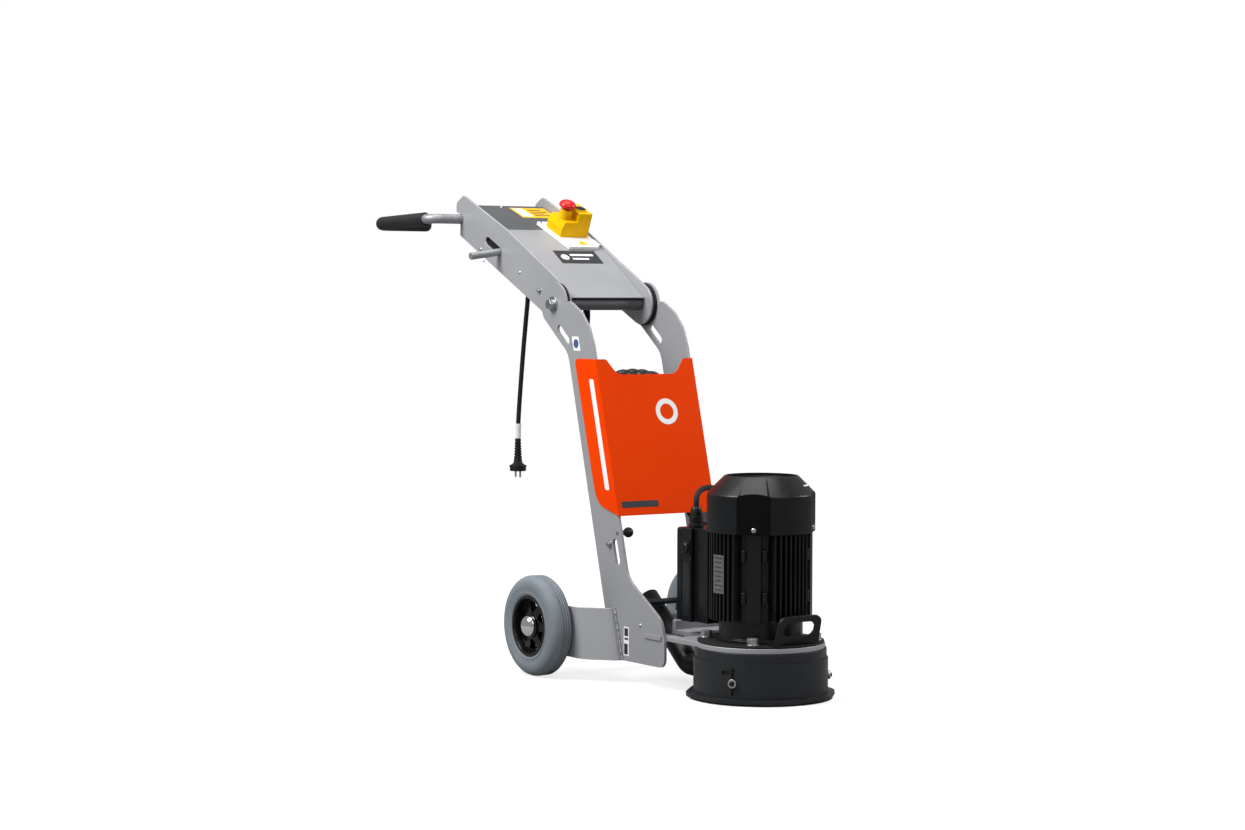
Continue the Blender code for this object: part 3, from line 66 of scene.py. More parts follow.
def at(x, y, z):
    return Vector((x, spindleY + y, z))  # measured from the spindle, on the floor


# ---- camera ----
cameraSetup = {"place": at(-3.24439681, -4.30734689, 0.80397806), "turn": 0.594086096, "dip": 0.0445132294,
               "roll": 0.00238565, "lens": 78.2, "sensor": 36.0}


def makeCamera(setup):
    data = bpy.data.cameras.new("studioCamera")
    data.lens = setup["lens"]
    data.sensor_width = setup["sensor"]
    camera = bpy.data.objects.new("studioCamera", data)
    turn = Matrix.Rotation(-setup["turn"], 4, "Z")
    tip = Matrix.Rotation(math.pi / 2 - setup["dip"], 4, "X")
    camera.matrix_world = Matrix.Translation(setup["place"]) @ turn @ tip @ Matrix.Rotation(setup["roll"], 4,
                                                                                            "Z")
    bpy.context.scene.collection.objects.link(camera)
    bpy.context.scene.camera = camera


makeCamera(cameraSetup)
print("camera placed")


# ---- finishes ----
finishes = {
    # darker copy of the motor paint for the cowl's four flats: painted dark reflection
    "flatPaintedReflection": {"colour": (0.0018, 0.0020, 0.0022), "second": (0.0014, 0.0015, 0.0017), "patch": 8,
                   "rough": (0.30, 0.40), "grain": 700, "bump": 0.04, "metal": 0.0, "shine": 0.16},
    "framePaint": {"colour": (0.35, 0.355, 0.375), "second": (0.32, 0.325, 0.345), "patch": 5,
                   "rough": (0.36, 0.46), "grain": 900, "bump": 0.05, "metal": 0.25},
    "deckPaint": {"colour": (0.30, 0.305, 0.32), "second": (0.27, 0.275, 0.29), "patch": 6,
                  "rough": (0.42, 0.52), "grain": 900, "bump": 0.05, "metal": 0.2},
    "darkPanel": {"colour": (0.085, 0.088, 0.094), "second": (0.072, 0.075, 0.08), "patch": 6,
                  "rough": (0.42, 0.52), "grain": 900, "bump": 0.05, "metal": 0.2},
    "orangePaint": {"colour": (0.80, 0.052, 0.0), "second": (0.76, 0.045, 0.0), "patch": 4,
                    "rough": (0.34, 0.42), "grain": 1100, "bump": 0.03, "metal": 0.0, "coat": 0.0,
                    "shine": 0.04},
    "motorPaint": {"colour": (0.0058, 0.0068, 0.0078), "second": (0.0042, 0.005, 0.0058), "patch": 8,
                   "rough": (0.30, 0.40), "grain": 700, "bump": 0.08, "metal": 0.1, "shine": 0.36},
    "castPaint": {"colour": (0.006, 0.0065, 0.007), "second": (0.004, 0.0044, 0.005), "patch": 9,
                  "rough": (0.42, 0.56), "grain": 350, "bump": 0.25, "metal": 0.1, "shine": 0.35},
    "shroudPaint": {"colour": (0.016, 0.018, 0.021), "second": (0.012, 0.0135, 0.016), "patch": 7,
                    "rough": (0.34, 0.46), "grain": 800, "bump": 0.06, "metal": 0.15, "shine": 0.42},
    "blackPlastic": {"colour": (0.0055, 0.0055, 0.006), "second": (0.004, 0.004, 0.0045), "patch": 12,
                     "rough": (0.34, 0.46), "grain": 1400, "bump": 0.08, "metal": 0.0, "shine": 0.4},
    "blackRubber": {"colour": (0.008, 0.008, 0.0085), "second": (0.006, 0.006, 0.0065), "patch": 10,
                    "rough": (0.62, 0.78), "grain": 900, "bump": 0.15, "metal": 0.0, "shine": 0.3},
    "gripRubber": {"colour": (0.014, 0.0145, 0.015), "second": (0.010, 0.010, 0.0105), "patch": 14,
                   "rough": (0.55, 0.68), "grain": 1200, "bump": 0.2, "metal": 0.0, "shine": 0.35},
    "tyreRubber": {"colour": (0.20, 0.228, 0.25), "second": (0.165, 0.19, 0.212), "patch": 12,
                   "rough": (0.58, 0.74), "grain": 600, "bump": 0.12, "metal": 0.0, "shine": 0.3},
    "rimPlastic": {"colour": (0.004, 0.004, 0.0045), "second": (0.003, 0.003, 0.0035), "patch": 20,
                   "rough": (0.22, 0.34), "grain": 900, "bump": 0.05, "metal": 0.0, "shine": 0.4},
    "zincPlate": {"colour": (0.50, 0.51, 0.525), "second": (0.38, 0.39, 0.405), "patch": 60,
                  "rough": (0.30, 0.42), "grain": 1500, "bump": 0.06, "metal": 1.0},
    "brightSteel": {"colour": (0.80, 0.81, 0.82), "second": (0.72, 0.73, 0.74), "patch": 30,
                    "rough": (0.10, 0.18), "grain": 1500, "bump": 0.02, "metal": 1.0},
    "tubeSteel": {"colour": (0.30, 0.305, 0.32), "second": (0.26, 0.265, 0.28), "patch": 18,
                  "rough": (0.42, 0.52), "grain": 1300, "bump": 0.05, "metal": 0.55},
    "plainSteel": {"colour": (0.40, 0.405, 0.42), "second": (0.30, 0.305, 0.32), "patch": 25,
                   "rough": (0.32, 0.48), "grain": 1000, "bump": 0.1, "metal": 1.0},
    "diamondMetal": {"colour": (0.30, 0.21, 0.13), "second": (0.20, 0.16, 0.12), "patch": 220,
                     "rough": (0.5, 0.75), "grain": 2200, "bump": 0.6, "metal": 0.6},
    "copperWire": {"colour": (0.55, 0.22, 0.08), "second": (0.42, 0.15, 0.05), "patch": 90,
                   "rough": (0.3, 0.42), "grain": 1200, "bump": 0.2, "metal": 0.9},
    "switchYellow": {"colour": (0.74, 0.42, 0.0), "second": (0.70, 0.39, 0.0), "patch": 16,
                     "rough": (0.3, 0.42), "grain": 1500, "bump": 0.05, "metal": 0.0, "shine": 0.12},
    "switchWhite": {"colour": (0.82, 0.80, 0.74), "second": (0.76, 0.74, 0.68), "patch": 14,
                    "rough": (0.36, 0.48), "grain": 1400, "bump": 0.05, "metal": 0.0},
    "stopRed": {"colour": (0.60, 0.010, 0.008), "second": (0.55, 0.008, 0.006), "patch": 20,
                "rough": (0.24, 0.34), "grain": 1300, "bump": 0.03, "metal": 0.0, "shine": 0.35},
    "sleeveWhite": {"colour": (0.80, 0.80, 0.78), "second": (0.70, 0.70, 0.68), "patch": 60,
                    "rough": (0.45, 0.58), "grain": 1100, "bump": 0.12, "metal": 0.0},
    "stickerWhite": {"colour": (0.85, 0.85, 0.85), "second": (0.80, 0.80, 0.80), "patch": 30,
                     "rough": (0.35, 0.42), "grain": 900, "bump": 0.01, "metal": 0.0},
    "stickerBlue": {"colour": (0.05, 0.10, 0.22), "second": (0.04, 0.08, 0.19), "patch": 30,
                    "rough": (0.35, 0.42), "grain": 900, "bump": 0.01, "metal": 0.0},
    "stickerDark": {"colour": (0.018, 0.020, 0.024), "second": (0.014, 0.016, 0.019), "patch": 20,
                    "rough": (0.38, 0.46), "grain": 900, "bump": 0.01, "metal": 0.0},
    "stickerYellow": {"colour": (0.80, 0.42, 0.003), "second": (0.76, 0.39, 0.003), "patch": 20,
                      "rough": (0.35, 0.42), "grain": 900, "bump": 0.01, "metal": 0.0, "shine": 0.2},
    "stickerSilver": {"colour": (0.20, 0.205, 0.21), "second": (0.12, 0.125, 0.13), "patch": 160,
                      "rough": (0.35, 0.5), "grain": 900, "bump": 0.02, "metal": 0.5},
}
madeFinishes = {}


def finish(name):
    if name in madeFinishes:
        return madeFinishes[name]
    look = finishes[name]
    material = bpy.data.materials.new(name)
    material.use_nodes = True
    nodes = material.node_tree.nodes
    links = material.node_tree.links
    shader = nodes["Principled BSDF"]
    shader.inputs["Metallic"].default_value = look["metal"]
    shader.inputs["Specular IOR Level"].default_value = look.get("shine", 0.5)
    if "coat" in look:
        shader.inputs["Coat Weight"].default_value = look["coat"]
        shader.inputs["Coat Roughness"].default_value = 0.25
    place = nodes.new("ShaderNodeTexCoord")

    patches = nodes.new("ShaderNodeTexNoise")  # slow drift of tone
    patches.inputs["Scale"].default_value = look["patch"]
    patches.inputs["Detail"].default_value = 5
    links.new(place.outputs["Object"], patches.inputs["Vector"])
    tone = nodes.new("ShaderNodeValToRGB")
    tone.color_ramp.elements[0].position = 0.35
    tone.color_ramp.elements[0].color = (*look["second"], 1)
    tone.color_ramp.elements[1].position = 0.68
    tone.color_ramp.elements[1].color = (*look["colour"], 1)
    links.new(patches.outputs["Fac"], tone.inputs["Fac"])
    links.new(tone.outputs["Color"], shader.inputs["Base Color"])

    smudge = nodes.new("ShaderNodeTexNoise")
    smudge.inputs["Scale"].default_value = look["patch"] * 2.7
    smudge.inputs["Detail"].default_value = 6
    links.new(place.outputs["Object"], smudge.inputs["Vector"])
    span = nodes.new("ShaderNodeMapRange")
    span.inputs["From Min"].default_value = 0.3
    span.inputs["From Max"].default_value = 0.7
    span.inputs["To Min"].default_value = look["rough"][0]
    span.inputs["To Max"].default_value = look["rough"][1]
    links.new(smudge.outputs["Fac"], span.inputs["Value"])
    links.new(span.outputs["Result"], shader.inputs["Roughness"])

    grain = nodes.new("ShaderNodeTexNoise")  # powder coat, moulding or casting grain
    grain.inputs["Scale"].default_value = look["grain"]
    grain.inputs["Detail"].default_value = 3
    links.new(place.outputs["Object"], grain.inputs["Vector"])
    bump = nodes.new("ShaderNodeBump")
    bump.inputs["Strength"].default_value = look["bump"]
    bump.inputs["Distance"].default_value = 0.0004
    links.new(grain.outputs["Fac"], bump.inputs["Height"])
    links.new(bump.outputs["Normal"], shader.inputs["Normal"])
    madeFinishes[name] = material
    return material


# ---- making pieces ----
def keep(name, mesh, body, look, stands=(), sharp=35, edge=0.0, rounds=2):
    # mesh is a bmesh drawn in place; edge is the width of its broken edges
    data = bpy.data.meshes.new(name)
    mesh.to_mesh(data)
    mesh.free()
    data.shade_smooth()
    data.set_sharp_from_angle(angle=math.radians(sharp))
    piece = bpy.data.objects.new(name, data)
    bpy.context.scene.collection.objects.link(piece)
    data.materials.append(finish(look))
    if edge:
        soften = piece.modifiers.new("softEdges", "BEVEL")
        soften.width = edge
        soften.segments = rounds
        soften.limit_method = "ANGLE"
        soften.angle_limit = math.radians(40)
        soften.harden_normals = False
    level = piece.modifiers.new("levelNormals", "WEIGHTED_NORMAL")
    level.keep_sharp = True
    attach(piece, body)
    if stands:
        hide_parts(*stands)
    return piece


def fromNode(node, look, edge=0.0008, rounds=2, sharp=35):
    # the CAD solid's own shape with its edges broken
    mesh = bmesh.new()
    mesh.from_mesh(frame["nodes"][node].data)
    bmesh.ops.remove_doubles(mesh, verts=mesh.verts[:], dist=0.00001)
    bmesh.ops.dissolve_limit(mesh, angle_limit=math.radians(0.7), verts=mesh.verts[:], edges=mesh.edges[:])
    return keep(node + "Skin", mesh, bodyOf[node], look, (node,), sharp, edge, rounds)


def turn(profile, place, along, steps=96, closed=True):
    # (radius, height) points spun about a line; points on the line close it
    mesh = bmesh.new()
    verts = [mesh.verts.new((radius, 0, height)) for radius, height in profile]
    pairs = list(zip(verts, verts[1:]))
    if closed and (profile[0][0] > 0 or profile[-1][0] > 0):
        pairs.append((verts[-1], verts[0]))
    edges = [mesh.edges.new(pair) for pair in pairs]
    bmesh.ops.spin(mesh, geom=verts + edges, cent=(0, 0, 0), axis=(0, 0, 1), angle=math.tau, steps=steps,
                   use_merge=True)
    bmesh.ops.remove_doubles(mesh, verts=mesh.verts[:], dist=0.00002)
    outward(mesh)
    swing = Vector((0, 0, 1)).rotation_difference(Vector(along)).to_matrix().to_4x4()
    bmesh.ops.transform(mesh, matrix=Matrix.Translation(place) @ swing, verts=mesh.verts[:])
    return mesh


def outward(mesh):
    bmesh.ops.recalc_face_normals(mesh, faces=mesh.faces[:])
    if mesh.calc_volume(signed=True) < 0:
        bmesh.ops.reverse_faces(mesh, faces=mesh.faces[:])


def slab(width, depth, height, place, spin=None, corner=0.0, segments=6):
    # a block centred on its footprint, its upright corners rounded by corner
    mesh = bmesh.new()
    bmesh.ops.create_cube(mesh, size=1)
    bmesh.ops.transform(mesh, matrix=Matrix.Diagonal((width, depth, height, 1)), verts=mesh.verts[:])
    if corner:
        upright = [e for e in mesh.edges if abs(e.verts[0].co.z - e.verts[1].co.z) > height / 2]
        bmesh.ops.bevel(mesh, geom=upright, offset=corner, offset_type="OFFSET", segments=segments,
                        profile=0.5,
                        affect="EDGES", material=-1, clamp_overlap=True)
    where = Matrix.Translation(place)
    bmesh.ops.transform(mesh, matrix=where @ spin.to_4x4() if spin else where, verts=mesh.verts[:])
    return mesh


def hexagon(acrossFlats, height, place, along):
    mesh = bmesh.new()
    bmesh.ops.create_circle(mesh, cap_ends=True, segments=6, radius=acrossFlats / math.sqrt(3))
    top = bmesh.ops.extrude_face_region(mesh, geom=mesh.faces[:])["geom"]
    bmesh.ops.translate(mesh, vec=(0, 0, height), verts=[v for v in top if isinstance(v, bmesh.types.BMVert)])
    outward(mesh)
    swing = Vector((0, 0, 1)).rotation_difference(Vector(along)).to_matrix().to_4x4()
    bmesh.ops.transform(mesh, matrix=Matrix.Translation(place) @ swing, verts=mesh.verts[:])
    return mesh


def tubePath(corners, arcStep=0.09):
    # straight runs with an arc of the given radius at each inner corner
    line = []
    for i, (point, radius) in enumerate(corners):
        if radius <= 0 or i in (0, len(corners) - 1):
            line.append(Vector(point))
            continue
        before = (corners[i - 1][0] - point).normalized()
        after = (corners[i + 1][0] - point).normalized()
        half = before.angle(after) / 2
        centre = point + (before + after).normalized() * radius / math.sin(half)
        start = (point + before * radius / math.tan(half) - centre).normalized()
        end = (point + after * radius / math.tan(half) - centre).normalized()
        steps = max(3, int(start.angle(end) / arcStep))
        line += [centre + start.slerp(end, k / steps) * radius for k in range(steps + 1)]
    return line


def flow(points, spacing):
    ends = [points[0] * 2 - points[1]] + points + [points[-1] * 2 - points[-2]]
    line = []
    for a, b, c, d in zip(ends, ends[1:], ends[2:], ends[3:]):
        steps = max(1, round((c - b).length / spacing))
        for k in range(steps):
            t = k / steps
            line.append(0.5 * (2 * b + (c - a) * t + (2 * a - 5 * b + 4 * c - d) * t ** 2
                               + (3 * b - a - 3 * c + d) * t ** 3))
    return line + [points[-1]]


def along(name, line, radius, body, look, slot=None, stands=(), sizes=None, sides=8):
    data = bpy.data.curves.new(name, "CURVE")
    data.dimensions = "3D"
    data.bevel_depth = radius
    data.bevel_resolution = sides
    data.use_fill_caps = True
    spline = data.splines.new("POLY")
    spline.points.add(len(line) - 1)
    for i, here in enumerate(line):
        spline.points[i].co = (*here, 1)
        spline.points[i].radius = sizes[i] if sizes else 1
    spline.use_smooth = True
    data.materials.append(finish(look))
    piece = bpy.data.objects.new(name, data)
    bpy.context.scene.collection.objects.link(piece)
    if body:
        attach(piece, body)
    if stands:
        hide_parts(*stands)
    return piece


def meshFrom(run, name):
    # the curve with its modifiers, as one plain mesh piece
    graph = bpy.context.evaluated_depsgraph_get()
    data = bpy.data.meshes.new_from_object(run.evaluated_get(graph))
    bpy.data.objects.remove(run)
    solid = bpy.data.objects.new(name, data)
    bpy.context.scene.collection.objects.link(solid)
    return solid


def onlyVerts(grown):
    return [v for v in grown if isinstance(v, bmesh.types.BMVert)]


def roundOff(mesh, geom, reach, segments, affect):
    bmesh.ops.bevel(mesh, geom=geom, offset=reach, offset_type="OFFSET", segments=segments, profile=0.5,
                    affect=affect, material=-1)


def cutBy(piece, tools):
    # takes the tools out of the piece for good
    for mesh in tools:
        data = bpy.data.meshes.new("tool")
        mesh.to_mesh(data)
        mesh.free()
        tool = bpy.data.objects.new("tool", data)
        bpy.context.scene.collection.objects.link(tool)
        change = piece.modifiers.new("cut", "BOOLEAN")
        change.operation = "DIFFERENCE"
        change.solver = "EXACT"
        change.object = tool
        piece.modifiers.move(len(piece.modifiers) - 1, 0)
        bpy.context.view_layer.update()
        rest = [m for m in piece.modifiers if m != change]
        shown = [m.show_viewport for m in rest]
        for m in rest:
            m.show_viewport = False
        graph = bpy.context.evaluated_depsgraph_get()
        cut = bpy.data.meshes.new_from_object(piece.evaluated_get(graph))
        for m, was in zip(rest, shown):
            m.show_viewport = was
        piece.modifiers.remove(change)
        piece.data = cut
        bpy.data.objects.remove(tool)
    piece.data.set_sharp_from_angle(angle=math.radians(35))


# ---- mains lead, hanging from the box under the deck ----
lead = {"radius": 0.0052, "sleeveRadius": 0.0068, "plugRadius": 0.0195}
leadRoute = [at(-0.030, 0.8260, 0.8675), at(-0.030, 0.8262, 0.8400), at(-0.030, 0.8300, 0.8000),
             at(-0.030, 0.8390, 0.7450),
             at(-0.030, 0.8480, 0.6900), at(-0.030, 0.8560, 0.6350), at(-0.030, 0.8635, 0.5800), at(-0.030,
                     0.8700, 0.5250),
             at(-0.030, 0.8722, 0.4800), at(-0.030, 0.8722, 0.4400)]


def makeLead():
    line = flow(leadRoute, 0.012)
    cord = along("mainsLead", line, lead["radius"], "console", "blackRubber", "rubber", ("mains_cord",))
    sleeveLine = [p for p in line if 0.478 < p.z < 0.521]
    sleeve = along("markerSleeve", sleeveLine, lead["sleeveRadius"], "console", "sleeveWhite", "switch_white")
    x, y, top = leadRoute[-1]
    ribs = []
    for k in range(7):
        high = top + 0.037 - k * 0.0062
        swell = 0.0070 + 0.00028 * k
        ribs += [(swell, high), (swell, high - 0.0040), (swell - 0.0013, high - 0.0044),
                 (swell - 0.0013, high - 0.0060)]
    boot = turn([(0.0054, top + 0.0385), (0.0062, top + 0.0385)] + ribs + [(0.0080, top - 0.0002),
                                                                           (0.0054, top - 0.0002)],
                Vector((x, y, 0)), (0, 0, 1), 40)
    relief = keep("plugBoot", boot, "console", "blackRubber", edge=0.0004)
    big = lead["plugRadius"]
    shape = [(0, top - 0.0003), (0.0085, top - 0.0003), (0.0092, top - 0.010), (0.0105, top - 0.016),
             (0.0150, top - 0.0195),
             (big, top - 0.0215), (big + 0.0002, top - 0.0240), (big - 0.0012, top - 0.0255), (big - 0.0010,
                                                                                               top - 0.0325),
             (big - 0.0024, top - 0.0342), (0, top - 0.0342)]
    body = keep("plugBody", turn(shape, Vector((x, y, 0)), (0, 0, 1), 64), "console", "blackPlastic",
                ("plug",), edge=0.0006, rounds=3)
    notches = [slab(0.004, 0.006, 0.016, Vector((x + side * big, y, top - 0.030))) for side in (-1, 1)]
    cutBy(body, notches)
    for side in (-1, 1):
        pin = turn([(0, top - 0.0490), (0.0014, top - 0.0490), (0.0024, top - 0.0475), (0.0024, top - 0.0330),
                    (0, top - 0.0330)],
                   Vector((x, y + side * 0.0095, 0)), (0, 0, 1), 24)
        keep("plugPin" + ("Front" if side < 0 else "Rear"), pin, "console", "brightSteel")


makeLead()
print("mains lead hung")


# ---- leaning frame ----
frameSetup = {"edge": 0.0009}


def makeFrame():
    for node in ("side_plate_right", "side_plate_left", "base_plate"):
        fromNode(node, "framePaint", frameSetup["edge"])
    for node in ("axle_bracket_right", "axle_bracket_left"):
        fromNode(node, "framePaint", 0.0007, sharp=50)
    fromNode("tie_rod", "shroudPaint", 0.0006, sharp=50)
    fromNode("axle", "plainSteel", 0.0005, sharp=50)
    # weld beads along the brackets' roots
    for word, side in (("right", -1), ("left", 1)):
        low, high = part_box("side_plate_" + word)
        face = low.x if side < 0 else high.x
        steps = 60
        line = []
        sizes = []
        for k in range(steps + 1):
            t = k / steps
            line.append(Vector((face + side * 0.0018, spindleY + 0.3114 + 0.0285 * t, 0.048 + 0.104 * t)))
            sizes.append(1 + 0.18 * math.sin(k * 2.1) + 0.1 * math.sin(k * 0.7 + 1))
        along("bracketWeld" + word.title(), line, 0.0030, "frame", "zincPlate", "frame_grey", sizes=sizes,
              sides=5)


def boltHead(name, place, out, flats, height, washer, body, look="zincPlate"):
    out = Vector(out)
    if washer:
        disc = turn([(0, 0), (washer, 0), (washer, 0.0018), (0, 0.0018)], place, out, 40)
        keep(name + "Washer", disc, body, look, edge=0.0004)
    keep(name + "Head", hexagon(flats, height, place + out * (0.0018 if washer else 0), out), body, look,
         edge=0.0007)


def makeFrameHardware():
    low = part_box("side_plate_right")[0]
    face = low.x
    boltHead("slotBolt", Vector((face - 0.0002, spindleY + 0.3600, 0.2850)), (-1, 0, 0), 0.010, 0.005, 0.0075,
             "frame")
    dome = turn([(0, 0.0022), (0.0022, 0.0019), (0.0038, 0.0010), (0.0044, 0), (0, 0)],
                Vector((face, spindleY + 0.2476, 0.1255)), (-1, 0, 0), 32)
    keep("buttonScrew", dome, "frame", "zincPlate")
    fromNode("pivot_bolt_right", "zincPlate", 0.0004)
    fromNode("pivot_bolt_left", "zincPlate", 0.0004)
    for word, side in (("Right", -1), ("Left", 1)):
        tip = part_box("pivot_bolt_" + word.lower())
        outer = tip[0].x if side < 0 else tip[1].x
        hub = middle("friction_disc_" + word.lower())
        keep("pivotHex" + word, hexagon(0.0195, 0.0088, Vector((outer - side * 0.0086, hub.y, hub.z)),
                                        (side, 0, 0)), "frame",
             "zincPlate", edge=0.0008, rounds=3)
        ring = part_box("friction_disc_" + word.lower())
        radius = (ring[1].z - ring[0].z) / 2
        inner = min(abs(ring[0].x), abs(ring[1].x))
        outerX = max(abs(ring[0].x), abs(ring[1].x))
        profile = [(0.0063, 0), (radius, 0), (radius, outerX - inner), (0.0063, outerX - inner)]
        keep("frictionPad" + word, turn(profile, Vector((side * inner, hub.y, hub.z)), (side, 0, 0), 96),
             "frame", "blackRubber",
             ("friction_disc_" + word.lower(),), edge=0.0008)


makeFrame()
makeFrameHardware()
print("frame made")


# ---- orange front cover ----
coverSetup = {"sheet": 0.002, "bend": 0.0035, "notchTop": 0.099, "notchBottom": 0.075, "notchDepth": 0.0325,
              "notchCorner": 0.013,
              "lowDepth": 0.080, "midDepth": 0.095, "topDepth": 0.082}


def makeCover():
    low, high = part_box("front_cover")
    half = high.x
    points = [v.co for v in frame["nodes"]["front_cover"].data.vertices]
    footY = min(p.y for p in points)
    topY = min(p.y for p in points if p.z > high.z - 0.0005)
    notchZ = high.z - coverSetup["notchDepth"]
    lean = (topY - footY) / (high.z - low.z)

    def onFront(x, z):
        return Vector((x, footY + (z - low.z) * lean, z))

    mesh = bmesh.new()
    outline = [onFront(-half, low.z), onFront(half, low.z), onFront(half, high.z),
               onFront(coverSetup["notchTop"], high.z),
               onFront(coverSetup["notchBottom"], notchZ), onFront(-coverSetup["notchBottom"], notchZ),
               onFront(-coverSetup["notchTop"], high.z), onFront(-half, high.z)]
    verts = [mesh.verts.new(p) for p in outline]
    mesh.faces.new(verts)
    sides = []
    for bottom, top, x in ((verts[0], verts[7], -half), (verts[1], verts[2], half)):
        lowRear = mesh.verts.new((x, footY + coverSetup["lowDepth"], low.z + 0.020))
        midRear = mesh.verts.new((x, footY + coverSetup["midDepth"], low.z + 0.062))
        upRear = mesh.verts.new((x, topY + coverSetup["topDepth"], high.z))
        mesh.faces.new((bottom, lowRear, midRear, upRear, top))
        sides += [(lowRear, 0.024), (midRear, 0.004), (upRear, 0.014)]
    for vert, reach in sides + [(verts[4], coverSetup["notchCorner"]), (verts[5], coverSetup["notchCorner"]),
                                (verts[3], 0.003), (verts[6], 0.003)]:
        roundOff(mesh, [vert], reach, 6, "VERTICES")
    folds = [e for e in mesh.edges if len(e.link_faces) == 2]
    roundOff(mesh, folds, coverSetup["bend"], 6, "EDGES")
    bmesh.ops.recalc_face_normals(mesh, faces=mesh.faces[:])
    facing = max(mesh.faces, key=lambda f: f.calc_area())
    if facing.normal.y > 0:
        bmesh.ops.reverse_faces(mesh, faces=mesh.faces[:])
    piece = keep("frontCover", mesh, "frame", "orangePaint", ("front_cover",), sharp=30)
    wall = piece.modifiers.new("sheet", "SOLIDIFY")
    wall.thickness = coverSetup["sheet"]
    wall.offset = -1
    soften = piece.modifiers.new("softEdges", "BEVEL")
    soften.width = 0.0004
    soften.segments = 2
    soften.limit_method = "ANGLE"
    soften.angle_limit = math.radians(50)
    piece.modifiers.move(0, 2)
    return onFront, half, low, high


onCover, coverHalf, coverLow, coverHigh = makeCover()


def patch(name, corners, out, body, look, rise=0.0003, round=0.0):
    # a thin sticker through the corner points
    mesh = bmesh.new()
    mesh.faces.new([mesh.verts.new(Vector(c)) for c in corners])
    if round:
        roundOff(mesh, mesh.verts[:], round, 6, "VERTICES")
    grown = bmesh.ops.extrude_face_region(mesh, geom=mesh.faces[:])["geom"]
    bmesh.ops.translate(mesh, vec=Vector(out) * rise, verts=onlyVerts(grown))
    outward(mesh)
    return keep(name, mesh, body, look)


def makeCoverMarks():
    # plain white bar up the side, a plain ring on the front and a dark bar at its foot
    lean = (coverHigh.z - coverLow.z)
    x = -coverHalf - 0.0001
    a, b = 0.16, 0.87
    bar = []
    for t, shift in ((a, 0.020), (a, 0.036), (b, 0.036), (b, 0.020)):
        point = onCover(x, coverLow.z + lean * t)
        bar.append((x, point.y + shift, point.z))
    patch("sideBar", bar, (-1, 0, 0), "frame", "stickerWhite", round=0.004)
    centre = onCover(0.036, coverLow.z + lean * 0.655)
    out = Vector((0, -1, 0.27)).normalized()
    ring = turn([(0.017, 0), (0.028, 0), (0.028, 0.0003), (0.017, 0.0003)], centre, out, 64)
    keep("frontRing", ring, "frame", "stickerWhite")
    z = coverLow.z + 0.016
    patch("footBar", [onCover(-0.113, z), onCover(-0.020, z), onCover(-0.020, z + 0.013),
                      onCover(-0.113, z + 0.013)], out, "frame",
          "stickerDark", round=0.003)


makeCoverMarks()


def makeLiftingGrip():
    low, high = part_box("lifting_grip")
    y = (low.y + high.y) / 2
    radius = (high.y - low.y) / 2
    half = high.x
    top = high.z - radius
    line = []
    sizes = []
    for k in range(161):
        x = half * (k / 80 - 1)
        reach = min(1, abs(x) / (half - 0.010))
        line.append(Vector((x, y, top - (high.z - low.z - 2 * radius) * reach ** 2)))
        groove = 0.5 + 0.5 * math.cos(x / 0.026 * math.tau)
        sizes.append(0.86 + 0.14 * groove ** 0.6 if abs(x) < half - 0.016 else 0.95)
    along("liftingGrip", line, radius, "frame", "blackPlastic", "black_plastic", ("lifting_grip",), sizes, 10)


makeLiftingGrip()
print("cover and lifting grip made")


# ---- wheels ----
wheelSetup = {"grooves": (0.0125, 0.0185, 0.0245), "grooveDepth": 0.0028, "windows": 6}


